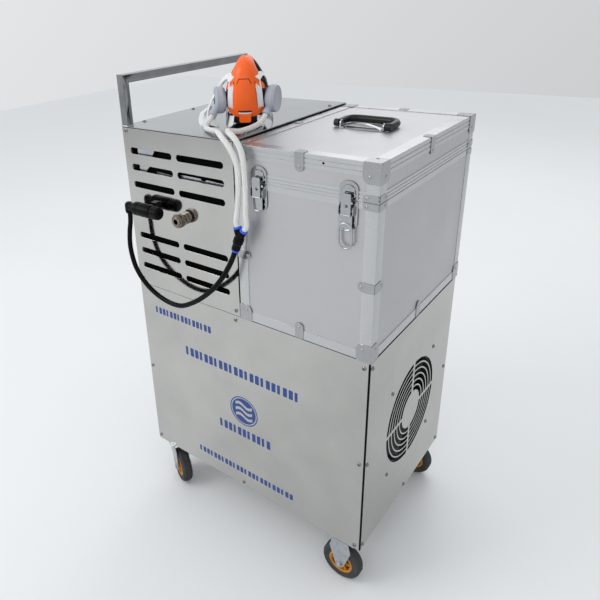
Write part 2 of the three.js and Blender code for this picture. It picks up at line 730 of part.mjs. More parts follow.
function inletCap(side) {
  const centre = vec(side * MASK.capSpan, 0, MASK.capHeight);
  const axis = capAxis(side);
  const inner = centre.clone().addScaledVector(axis, -MASK.capDepth / 2);
  const profile = [
    [0, 0],
    [MASK.capRadius - 4, 0],
    [MASK.capRadius - 1, 6],
    [MASK.capRadius, 9],
    [MASK.capRadius, MASK.capDepth - 3],
    [MASK.capRadius - 3, MASK.capDepth],
    [0, MASK.capDepth],
  ];
  const cap = turned(profile, inner, inner.clone().add(axis), 24);
  const from = centre.clone().addScaledVector(spigotDirection(), SPIGOT.inner);
  const to = centre.clone().addScaledVector(spigotDirection(), SPIGOT.outer);
  return join(cap, bar(from, to, SPIGOT.radius, 14));
}

// The harness band lies as a loop behind the mask.
function headStrap() {
  const loop = new THREE.Shape();
  loop.absellipse(0, SHELL.y + 8, 56, 92, 0, Math.PI, false, 0);
  loop.absellipse(0, SHELL.y + 8, 53, 89, Math.PI, 0, true, 0);
  return extruded(loop, 20, vec(1, 0, 0), vec(0, 1, 0), vec(0, 0, 12), 7);
}

function buildMask(cart) {
  const mask = new THREE.Group();
  mask.position.set(MASK.x, MASK.y, TOWER_TOP);
  mask.rotation.z = radians(MASK.turn);
  cart.add(mask);
  addPart(mask, "mask_shell", maskShell(), blackRubber());
  addPart(mask, "mask_face_seal", faceSeal(), blackRubber());
  addPart(mask, "mask_front_cover", frontCover(), plastic(0xf26a21, 0.4));
  addPart(mask, "mask_cap_left", inletCap(-1), plastic(0xa9adb8, 0.5));
  addPart(mask, "mask_cap_right", inletCap(1), plastic(0xa9adb8, 0.5));
  addPart(mask, "mask_head_strap", headStrap(), plastic(0xd9dadc, 0.8));
}

// ---------------------------------------------------------------- hoses
const Y_BOTTOM = vec(352.4, -29, 706);
const Y_SPLIT = vec(366, -28, 741);
const Y_LEFT = vec(360, -27.5, 762.5);
const Y_RIGHT = vec(378, -27.5, 758);

// Where a cap's spigot ends, in the cart's frame.
function spigotEnd(side) {
  const turn = radians(MASK.turn);
  const centre = vec(MASK.x, MASK.y, TOWER_TOP + MASK.capHeight);
  centre.add(vec(side * MASK.capSpan * Math.cos(turn), side * MASK.capSpan * Math.sin(turn), 0));
  return centre.addScaledVector(vec(0, -1, -1).normalize(), SPIGOT.outer + GAP);
}

function yConnector() {
  const stem = bar(Y_BOTTOM, Y_SPLIT, 9.5, 14, 10);
  const left = bar(Y_SPLIT, Y_LEFT, 9.5, 14);
  const right = bar(Y_SPLIT, Y_RIGHT, 9.5, 14);
  return join(stem, left, right);
}

// From the valve's elbow down in a slack loop and up to the Y connector.
function supplyHose() {
  const arrival = Y_SPLIT.clone().sub(Y_BOTTOM).normalize();
  const end = Y_BOTTOM.clone().addScaledVector(arrival, -GAP);
  const points = [
    [VALVE.elbowX, VALVE.y, 735 - GAP],
    [VALVE.elbowX, VALVE.y, 724],
    [27, -33, 708],
    [24, -36, 685],
    [23.5, -40, 642],
    [39, -43, 592],
    [71, -45, 557],
    [110.5, -46, 536],
    [152, -46, 526.5],
    [189, -46, 529],
    [224, -45, 546],
    [258, -43, 570],
    [291, -40, 601],
    [316, -36, 633],
    [334, -32, 664],
  ].map(([x, y, z]) => vec(x, y, z));
  points.push(end.clone().addScaledVector(arrival, -16), end);
  return tubeAlong(points, HOSE_RADIUS, 26);
}

// Each breathing tube climbs in front of the case, bends over the tower's front edge and runs back to its cap.
function breathingTube(collar, middle, side) {
  const departure = collar.clone().sub(Y_SPLIT).normalize();
  const start = collar.clone().addScaledVector(departure, GAP);
  const end = spigotEnd(side);
  const arrival = vec(0, -1, -1).normalize();
  const points = [start, start.clone().addScaledVector(departure, 10)];
  points.push(...middle.map(([x, y, z]) => vec(x, y, z)));
  points.push(end.clone().addScaledVector(arrival, 9), end);
  return tubeAlong(points, TUBE_RADIUS, 24);
}

const LEFT_TUBE = [
  [358.5, -24, 792],
  [361, -22, 822],
  [363, -22, 852],
  [363, -22, 880],
  [358, -23, 906],
  [345, -23, 927],
  [328, -20, 942],
  [309, -11, 950],
  [292, 3, 950],
  [272, 18, 946],
  [248, 32, 943],
  [226, 46, 942],
  [212, 62, 944],
];
const RIGHT_TUBE = [
  [380, -23, 788],
  [379, -20, 818],
  [378, -18, 848],
  [377, -18, 878],
  [375, -18, 904],
  [369, -18, 926],
  [358, -18, 943],
  [344, -16, 953],
  [332, -9, 956],
  [325, 4, 954],
  [321, 22, 949],
  [318, 45, 944],
  [315, 75, 942],
  [312, 105, 942],
  [310.5, 128, 945],
];

function buildHoses(cart) {
  addPart(cart, "y_connector", yConnector(), plastic(0x17181a, 0.4));
  addPart(cart, "supply_hose", supplyHose(), plastic(0x14161b, 0.45));
  addPart(cart, "breathing_tube_left", breathingTube(Y_LEFT, LEFT_TUBE, -1), plastic(0xd8d8d2, 0.35));
  addPart(cart, "breathing_tube_right", breathingTube(Y_RIGHT, RIGHT_TUBE, 1), plastic(0xd8d8d2, 0.35));
}

// ---------------------------------------------------------------- power inlet and switch
const INLET = { x: 90, z: 90, halfWidth: 26, halfHeight: 34 };
const ROCKER_Z = INLET.z + 17;

function powerInlet() {
  const { x, z, halfWidth, halfHeight } = INLET;
  const face = DEPTH + GAP;
  const body = block(x - halfWidth, x + halfWidth, face, DEPTH + INLET_DEPTH, z - halfHeight, z + halfHeight);
  const socket = block(x - 14, x + 14, face + 1.2, DEPTH + 20, z - 27, z - 5);
  const well = block(x - 11, x + 11, face + 1.2, DEPTH + 20, ROCKER_Z - 8.5, ROCKER_Z + 8.5);
  return cut(body, socket, well);
}

// A rocker with its upper half pressed in.
function powerRocker() {
  const profile = outline([
    [-7, -1.8],
    [7, -1.8],
    [7.6, 2.4],
    [0, 1.2],
    [-7.6, 2.4],
  ]);
  const rocker = new THREE.ExtrudeGeometry(profile, { depth: 20, bevelEnabled: false }).translate(0, 0, -10);
  rocker.rotateZ(radians(-7));
  const basis = new THREE.Matrix4().makeBasis(UP, vec(0, 1, 0), vec(-1, 0, 0));
  rocker.applyMatrix4(basis.setPosition(INLET.x, DEPTH + 4.8, ROCKER_Z));
  return solidOf(rocker);
}

function buildPowerInlet(cart) {
  addPart(cart, "power_inlet", powerInlet(), plastic(0x1a1a1c, 0.5));
  addPart(cart, "power_rocker", powerRocker(), plastic(0xb3261e, 0.4));
}

// ---------------------------------------------------------------- the whole respirator
const respirator = new THREE.Group();
const cart = new THREE.Group();
cart.position.set(-WIDTH / 2, -ORIGIN_Y, CASTER_HEIGHT);
respirator.add(cart);
buildCasters(cart);
buildCabinet(cart);
buildTower(cart);
buildFan(cart);
buildAirSupply(cart);
buildOutlets(cart);
buildCase(cart);
buildMask(cart);
buildHoses(cart);
buildPowerInlet(cart);

export default respirator;
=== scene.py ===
"""Looks of a cart-mounted powered air respirator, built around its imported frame.

Shapes are given in the cart's own millimetres: X from its left face, Y from its front face and Z from the
cabinet's underside. The workshop turns them to the frame's metres.
"""

import json
import logging
import math
from dataclasses import dataclass, field
from enum import Enum

import bmesh
import bpy
from mathutils import Matrix, Vector

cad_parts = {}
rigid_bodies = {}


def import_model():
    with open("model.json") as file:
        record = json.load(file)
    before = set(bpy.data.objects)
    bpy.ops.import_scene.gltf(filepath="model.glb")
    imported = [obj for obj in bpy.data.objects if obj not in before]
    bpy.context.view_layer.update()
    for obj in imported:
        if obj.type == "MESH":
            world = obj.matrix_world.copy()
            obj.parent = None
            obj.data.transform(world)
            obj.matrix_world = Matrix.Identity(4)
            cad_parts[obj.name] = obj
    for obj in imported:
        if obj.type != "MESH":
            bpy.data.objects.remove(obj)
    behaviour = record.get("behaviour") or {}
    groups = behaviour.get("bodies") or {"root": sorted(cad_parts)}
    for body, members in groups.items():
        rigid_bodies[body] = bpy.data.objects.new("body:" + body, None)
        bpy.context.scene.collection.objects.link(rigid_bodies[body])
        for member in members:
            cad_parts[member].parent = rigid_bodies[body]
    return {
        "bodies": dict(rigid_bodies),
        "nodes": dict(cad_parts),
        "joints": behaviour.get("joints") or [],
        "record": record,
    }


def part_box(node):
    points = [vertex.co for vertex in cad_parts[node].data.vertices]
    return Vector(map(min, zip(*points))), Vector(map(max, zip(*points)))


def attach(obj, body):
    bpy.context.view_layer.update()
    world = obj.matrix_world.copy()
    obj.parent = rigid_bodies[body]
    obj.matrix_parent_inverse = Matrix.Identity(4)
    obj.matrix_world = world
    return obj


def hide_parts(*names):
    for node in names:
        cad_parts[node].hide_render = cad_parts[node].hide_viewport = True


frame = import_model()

log = logging.getLogger("respirator")
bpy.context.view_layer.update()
MM = 0.001
X, Y, Z = Vector((1, 0, 0)), Vector((0, 1, 0)), Vector((0, 0, 1))
Point = tuple[float, float, float]
Pair = tuple[float, float]
Tree, Socket = bpy.types.NodeTree, bpy.types.NodeSocket
CART = Matrix.Translation(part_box("front_panel")[0]) @ Matrix.Scale(MM, 4)


def at(x: float, y: float, z: float) -> Vector:
    """Return a point of the cart, given in millimetres, in the frame's metres."""
    return CART @ Vector((x, y, z))


def linear(colour: str) -> tuple[float, float, float, float]:
    """Turn an sRGB hex colour into a linear one.

    Args:
        colour: The colour as "#RRGGBB".

    Returns:
        Its linear red, green, blue and alpha.
    """
    channels = [int(colour[i : i + 2], 16) / 255 for i in (1, 3, 5)]
    turned = [c / 12.92 if c <= 0.04045 else ((c + 0.055) / 1.055) ** 2.4 for c in channels]
    return (*turned, 1.0)


def add_node(
    tree: Tree, kind: str, values: dict | None = None, links: dict | None = None
) -> bpy.types.Node:
    """Add a node.

    Args:
        tree: The node tree that gets it.
        kind: The node's type, without its "ShaderNode" prefix.
        values: Attributes by lower-case name, and input values by socket name or number.
        links: Output sockets by the name or number of the input that each goes to.

    Returns:
        The new node.
    """
    node = tree.nodes.new("ShaderNode" + kind)
    for key, value in (values or {}).items():
        if isinstance(key, str) and key[0].islower():
            setattr(node, key, value)
        else:
            node.inputs[key].default_value = value
    for key, socket in (links or {}).items():
        tree.links.new(socket, node.inputs[key])
    return node


# ---------------------------------------------------------------- finishes
SHEET_WAVE_MM, SHEET_WAVE_DEPTH_MM = 210.0, 0.4


class Texture(Enum):
    """How a surface was made, which sets the pattern that shows on it."""

    ROLLED = "rolled and polished sheet"
    BRUSHED = "drawn or brushed profile"
    MOULDED = "moulded plastic or rubber"
    CAST = "cast or sprayed metal"
    WOVEN = "woven band"


@dataclass(frozen=True)
class Finish:
    """One real material with its surface.

    Attributes:
        name: The material's plain name.
        slot: The record's material slot.
        colour: Its sRGB colour.
        roughness: Its roughness where it is clean.
        metallic: 1 for bare metal.
        texture: How its surface was made.
        grain_mm: The size of its pattern.
        depth_mm: The height of its pattern.
        drift: How far its colour wanders, as a share.
        drift_mm: The size of the patches that it wanders in.
        along: The direction of a brushed or woven pattern.
        sockets: Other shader sockets, by name.
    """

    name: str
    slot: str
    colour: str
    roughness: float
    metallic: float = 0.0
    texture: Texture = Texture.MOULDED
    grain_mm: float = 1.5
    depth_mm: float = 0.02
    drift: float = 0.05
    drift_mm: float = 60.0
    along: Point = (1, 0, 0)
    sockets: tuple[tuple[str, object], ...] = ()

    def material(self) -> bpy.types.Material:
        """Return the node material, made on the first call."""
        made = bpy.data.materials.get(self.name)
        if made:
            return made
        made = bpy.data.materials.new(self.name)
        made.use_nodes = True
        tree = made.node_tree
        tree.nodes.clear()
        where = add_node(tree, "TexCoord").outputs["Object"]
        patches = self._noise(tree, where, self.drift_mm, detail=4.0)
        shader = add_node(
            tree,
            "BsdfPrincipled",
            {"Metallic": self.metallic, **dict(self.sockets)},
            {
                "Base Color": self._tint(tree, patches),
                "Roughness": self._rub(tree, patches, where),
                "Normal": self._relief(tree, where),
            },
        )
        add_node(tree, "OutputMaterial", links={"Surface": shader.outputs[0]})
        return made

    def _noise(
        self, tree: Tree, where: Socket, size_mm: float, detail: float = 2.0, stretch: Point = (1, 1, 1)
    ) -> Socket:
        """Add a noise of a real size.

        Args:
            tree: The node tree that gets it.
            where: The coordinates that it is read at.
            size_mm: The size of its patches.
            detail: How many finer octaves it has.
            stretch: The scale of each axis, below 1 where the noise is drawn out.

        Returns:
            The noise's height.
        """
        scaled = add_node(tree, "Mapping", {"Scale": stretch}, {"Vector": where}).outputs[0]
        settings = {"Scale": 1 / (size_mm * MM), "Detail": detail, "Roughness": 0.55}
        return add_node(tree, "TexNoise", settings, {"Vector": scaled}).outputs["Fac"]

    def _lines(self, tree: Tree, where: Socket) -> Socket:
        """Return the fine rub lines along the finish's direction, forty times as long as wide."""
        stretch = tuple(0.025 if axis else 1.0 for axis in self.along)
        return self._noise(tree, where, self.grain_mm, stretch=stretch)

    def _spread(self, tree: Tree, source: Socket, low: float, high: float) -> Socket:
        """Return a noise's usual range, spread from low to high."""
        values = {"From Min": 0.3, "From Max": 0.7, "To Min": low, "To Max": high}
        return add_node(tree, "MapRange", values, {"Value": source}).outputs[0]

    def _tint(self, tree: Tree, patches: Socket) -> Socket:
        """Add the base colour, a little darker and lighter in patches.

        Args:
            tree: The node tree that gets it.
            patches: The noise that it follows.

        Returns:
            The colour.
        """
        *colour, alpha = linear(self.colour)
        dark = [c * (1 - self.drift) for c in colour]
        light = [min(1.0, c * (1 + self.drift)) for c in colour]
        values = {"data_type": "RGBA", 6: (*dark, alpha), 7: (*light, alpha)}
        return add_node(tree, "Mix", values, {0: self._spread(tree, patches, 0.0, 1.0)}).outputs[2]

    def _rub(self, tree: Tree, patches: Socket, where: Socket) -> Socket:
        """Add the roughness, with handling marks on metal and a fine unevenness elsewhere.

        Args:
            tree: The node tree that gets it.
            patches: The noise that it follows.
            where: The coordinates of the rub lines that a brushed finish follows instead.

        Returns:
            The roughness.
        """
        reach = min(0.07, self.roughness / 3) if self.metallic else 0.05
        source = self._lines(tree, where) if self.texture is Texture.BRUSHED else patches
        low, high = max(0.02, self.roughness - reach), min(1.0, self.roughness + reach)
        return self._spread(tree, source, low, high)

    def _relief(self, tree: Tree, where: Socket) -> Socket:
        """Add the relief of the surface's own pattern.

        Args:
            tree: The node tree that gets it.
            where: The coordinates that it is read at.

        Returns:
            The normal that it gives.
        """
        if self.texture is Texture.ROLLED:
            # Thin sheet is never quite flat: long shallow waves bend what it reflects, over a fine grain.
            waves = self._noise(tree, where, SHEET_WAVE_MM, detail=1.0)
            wavy = add_node(tree, "Bump", {"Distance": SHEET_WAVE_DEPTH_MM * MM}, {"Height": waves})
            return self._bump(tree, self._lines(tree, where), wavy.outputs[0])
        if self.texture is Texture.BRUSHED:
            return self._bump(tree, self._lines(tree, where))
        if self.texture is Texture.WOVEN:
            scale = {"Scale": 1 / (self.grain_mm * MM) / 3, "bands_direction": "DIAGONAL", "Distortion": 0.4}
            ribs = add_node(tree, "TexWave", scale, {"Vector": where}).outputs["Fac"]
            return self._bump(tree, ribs)
        if self.texture is Texture.CAST:
            pits = add_node(tree, "TexVoronoi", {"Scale": 1 / (self.grain_mm * MM)}, {"Vector": where})
            return self._bump(tree, pits.outputs["Distance"])
        return self._bump(tree, self._noise(tree, where, self.grain_mm, detail=3.0))

    def _bump(self, tree: Tree, height: Socket, over: Socket | None = None) -> Socket:
        """Return a normal from a height, on top of another normal where there is one."""
        links = {"Height": height} if over is None else {"Height": height, "Normal": over}
        return add_node(tree, "Bump", {"Distance": self.depth_mm * MM}, links).outputs[0]


# Stainless sheet, rolled and polished: soft wavy reflections with faint vertical rub lines.
STAINLESS = Finish(
    "stainless_polished_sheet", "stainless_sheet", "#B5B4B1", 0.09, 1.0, Texture.ROLLED,
    grain_mm=1.2, depth_mm=0.002, drift=0.06, drift_mm=120, along=(0, 0, 1),
)
# The same sheet lying flat on top, with rub lines that run from front to back.
STAINLESS_TOP = Finish(
    "stainless_polished_top", "stainless_sheet", "#B2B5B8", 0.12, 1.0, Texture.ROLLED,
    grain_mm=1.2, depth_mm=0.01, drift=0.05, drift_mm=120, along=(0, 1, 0),
)
# Stainless square tube with rub lines along its length: painted reflection makes it darker than the sheet, in
# darker patches, for the dark things that it mirrors.
STAINLESS_TUBE_PAINTED_DARK = Finish(
    "stainless_tube_painted_reflection", "stainless_sheet", "#8F9192", 0.1, 1.0, Texture.ROLLED,
    grain_mm=1.0, depth_mm=0.008, drift=0.1, drift_mm=35, along=(0, 1, 0),
)
# Galvanised bracket steel, zinc plated: a soft grey shine with a fine spangle.
ZINC = Finish(
    "zinc_plated_steel", "zinc_plate", "#B3B7BB", 0.32, 1.0, Texture.CAST,
    grain_mm=3, depth_mm=0.02, drift=0.12, drift_mm=12,
)
# Zinc-plated screw steel, cold headed: a little greyer than the sheet that it holds, with a soft glint.
SCREW = Finish("bright_screw_steel", "zinc_plate", "#8B8D8F", 0.26, 1.0, drift=0.1, drift_mm=5)
# Rubber tyre, moulded: dark grey, dusty and dull.
TYRE = Finish(
    "dusty_tyre_rubber", "tyre_rubber", "#3D3E3F", 0.8,
    grain_mm=1.2, depth_mm=0.06, drift=0.25, drift_mm=16, sockets=(("Specular IOR Level", 0.25),),
)
# Polyurethane hub, moulded: amber with a waxy gloss and a slight glow in thin ribs.
AMBER = Finish(
    "amber_polyurethane", "amber_plastic", "#B97A0F", 0.38, drift=0.12, drift_mm=14,
    sockets=(("Subsurface Weight", 0.15), ("Subsurface Radius", (0.004, 0.002, 0.001))),
)
# Aluminium panel, embossed and lacquered: pale and silky, with no clear reflections.
CASE_PANEL = Finish(
    "aluminium_case_panel", "case_aluminium", "#BABABC", 0.42, 0.8,
    grain_mm=1.6, depth_mm=0.02, drift=0.025, drift_mm=90,
)
# Aluminium angle, drawn and anodised: brighter than the panels, with a broad even shine.
TRIM = Finish(
    "anodised_aluminium_trim", "case_aluminium", "#BFC0C2", 0.3, 1.0,
    grain_mm=3.0, depth_mm=0.0008, drift=0.02, drift_mm=60,
)
# Steel corner pieces, nickel plated and barrelled: greyer than the trims, with a soft shine.
PLATED = Finish(
    "nickel_plated_corner_steel", "chrome_steel", "#A6A7A9", 0.22, 1.0,
    depth_mm=0.002, drift=0.04, drift_mm=30,
)
# Steel fittings, chrome plated: a bright mirror with dark edges.
CHROME = Finish(
    "chrome_plated_steel", "chrome_steel", "#A6A8AB", 0.1, 1.0, depth_mm=0.01, drift=0.06, drift_mm=8
)
# ABS, moulded, black: a satin sheen on a fine spark-eroded grain.
BLACK_ABS = Finish(
    "black_abs", "black_plastic", "#050506", 0.32,
    grain_mm=0.8, depth_mm=0.01, drift=0.2, sockets=(("Specular IOR Level", 0.1),),
)
# Soft grip vinyl on a steel core: black and slightly oily.
GRIP = Finish(
    "black_grip_vinyl", "black_plastic", "#0B0C0D", 0.32,
    grain_mm=2.5, depth_mm=0.04, drift=0.2, sockets=(("Specular IOR Level", 0.35),),
)
# Matt near-black without shine: cut polyethylene foam for the tower's sound pad, the lid's dark rivet, and
# painted shade in the cabinet's seams, the screws' cross recesses and the mask's groove.
FOAM_AND_PAINTED_SHADE = Finish(
    "black_foam_and_painted_shade", "black_plastic", "#070708", 0.95,
    depth_mm=0.2, drift=0.3, sockets=(("Specular IOR Level", 0.1),),
)
# Silicone mask body, moulded: a deep black with a soft skin-like sheen.
SILICONE = Finish(
    "black_mask_silicone", "mask_rubber", "#0F1012", 0.5,
    grain_mm=1.0, drift=0.15, sockets=(("Sheen Weight", 0.08), ("Specular IOR Level", 0.3)),
)
# Painted shade inside the mask's outlet: a deep matt red.
OUTLET_PAINTED_SHADE = Finish("maroon_painted_outlet_shade", "mask_rubber", "#4A0C08", 0.6, grain_mm=1.0, drift=0.1, drift_mm=10)
# Polypropylene cover, moulded: bright orange with a clear gloss.
ORANGE = Finish(
    "orange_polypropylene", "orange_plastic", "#FA6306", 0.36,
    grain_mm=1.6, depth_mm=0.015, drift_mm=30,
    sockets=(("Subsurface Weight", 0.08), ("Subsurface Radius", (0.004, 0.002, 0.001))),
)
# ABS filter caps, moulded: pale blue-grey and matt.
CAP_GREY = Finish("grey_cap_abs", "grey_plastic", "#ACB1BC", 0.46, grain_mm=0.9)
# Near-white painted highlight on the lip below the mask's outlet, in the grey ABS's slot.
OUTLET_PAINTED_HIGHLIGHT = Finish("white_painted_outlet_highlight", "grey_plastic", "#DDE3EC", 0.4, grain_mm=0.9, drift=0.03)
# Elastic webbing, woven: ribs across the band, drawn 2.4 mm apart so that they show.
WEBBING = Finish(
    "white_elastic_webbing", "white_webbing", "#E4E6E8", 0.8, texture=Texture.WOVEN,
    grain_mm=2.4, depth_mm=0.25, drift=0.06, sockets=(("Sheen Weight", 0.4),),
)
# Polyurethane air hose, extruded: black with a long clean highlight.
HOSE = Finish(
    "black_polyurethane_hose", "hose_black", "#050609", 0.24,
    grain_mm=4, depth_mm=0.01, drift=0.15, sockets=(("Specular IOR Level", 0.1),),
)
# Silicone breathing tube, extruded: milky and half clear.
CLEAR_TUBE = Finish(
    "clear_silicone_tube", "tube_silicone", "#F6F7F4", 0.22, grain_mm=5, drift=0.03,
    sockets=(
        ("Transmission Weight", 0.35), ("IOR", 1.38), ("Subsurface Weight", 0.35),
        ("Subsurface Radius", (0.006, 0.006, 0.006)),
    ),
)
# Acetal collars of push-in fittings, moulded: a strong blue.
COLLAR_BLUE = Finish("blue_acetal_collar", "black_plastic", "#2A5BE0", 0.33)
# Nickel-plated brass, turned: a warm grey shine with fine tool lines.
NICKEL = Finish(
    "nickel_plated_brass", "nickel_brass", "#827A70", 0.22, 1.0, Texture.BRUSHED,
    grain_mm=0.8, drift=0.12, drift_mm=10, along=(0, 1, 0),
)
# Ink screened on steel: flat dark blue, slightly worn.
INK = Finish(
    "blue_screen_ink", "stainless_sheet", "#1E3E82", 0.5, grain_mm=1.0, depth_mm=0.01, drift=0.12, drift_mm=6
)
# Cast aluminium of the compressor: dull and pitted.
CAST_ALLOY = Finish(
    "cast_aluminium", "cast_aluminium", "#8E9396", 0.5, 1.0, Texture.CAST,
    grain_mm=2.5, depth_mm=0.15, drift=0.15,
)
# Powder-coated steel of the air receiver: blue with a fine orange peel.
TANK = Finish(
    "blue_powder_coat", "painted_steel", "#2F4A86", 0.4, texture=Texture.CAST, grain_mm=3, depth_mm=0.1
)
# Polycarbonate rocker, moulded: a clean glossy red.
ROCKER = Finish("red_polycarbonate", "red_plastic", "#B3261E", 0.3)
# Glass-filled nylon of the fan, moulded: charcoal, dry and slightly dusty.
FAN_NYLON = Finish("charcoal_fan_nylon", "black_plastic", "#26282A", 0.55, depth_mm=0.05, drift=0.2)


# ---------------------------------------------------------------- shaping
def rounded(corners: list[Point], steps: int = 5) -> list[Pair]:
    """Round the corners of a closed outline.

    Args:
        corners: Each corner's across, up and radius.
        steps: How many points each round gets, less one.

    Returns:
        The outline's points, as many as its rounds need.
    """
    points: list[Pair] = []
    for i, (x, y, radius) in enumerate(corners):
        here = Vector((x, y))
        if radius <= 0:
            points.append((x, y))
            continue
        before = (Vector(corners[i - 1][:2]) - here).normalized()
        after = (Vector(corners[(i + 1) % len(corners)][:2]) - here).normalized()
        half = before.angle(after) / 2
        reach = radius / math.tan(half)
        start, end = here + before * reach, here + after * reach
        centre = here + (before + after).normalized() * (radius / math.sin(half))
        first = start - centre
        turn = first.angle_signed(end - centre)
        for step in range(steps + 1):
            points.append(tuple(centre + Matrix.Rotation(-turn * step / steps, 2) @ first))
    return points


def box_outline(x0: float, x1: float, y0: float, y1: float, radius: float = 0.0) -> list[Pair]:
    """Return a rectangle with rounded corners."""
    return rounded([(x0, y0, radius), (x1, y0, radius), (x1, y1, radius), (x0, y1, radius)])


def turns(sides: int) -> list[float]:
    """Return the angles of evenly spaced points around a circle."""
    return [2 * math.pi * i / sides for i in range(sides)]


def circle(x: float, y: float, radius: float, sides: int = 32) -> list[Pair]:
    """Return a circle as a closed outline."""
    return [(x + radius * math.cos(t), y + radius * math.sin(t)) for t in turns(sides)]


def smooth_line(points: list[Point], per: int) -> list[Vector]:
    """Draw a smooth curve through points, as a centripetal Catmull-Rom spline.

    Args:
        points: The points that it passes through.
        per: How many pieces lie between two points.

    Returns:
        The curve's points.
    """
    knots = [Vector(p) for p in points]
    knots = [2 * knots[0] - knots[1], *knots, 2 * knots[-1] - knots[-2]]
    line: list[Vector] = []
    for p0, p1, p2, p3 in zip(knots, knots[1:], knots[2:], knots[3:]):
        d0, d1, d2 = (max(math.sqrt((b - a).length), 1e-6) for a, b in ((p0, p1), (p1, p2), (p2, p3)))
        m1 = ((p1 - p0) / d0 - (p2 - p0) / (d0 + d1) + (p2 - p1) / d1) * d1
        m2 = ((p2 - p1) / d1 - (p3 - p1) / (d1 + d2) + (p3 - p2) / d2) * d1
        for t in (i / per for i in range(per)):
            cubic = (2 * p1 - 2 * p2 + m1 + m2) * t**3
            line.append(p1 + m1 * t + (3 * p2 - 3 * p1 - 2 * m1 - m2) * t**2 + cubic)
    return [*line, knots[-2]]


POINT_RADIUS, WELD_DISTANCE = 1e-3, 1e-4


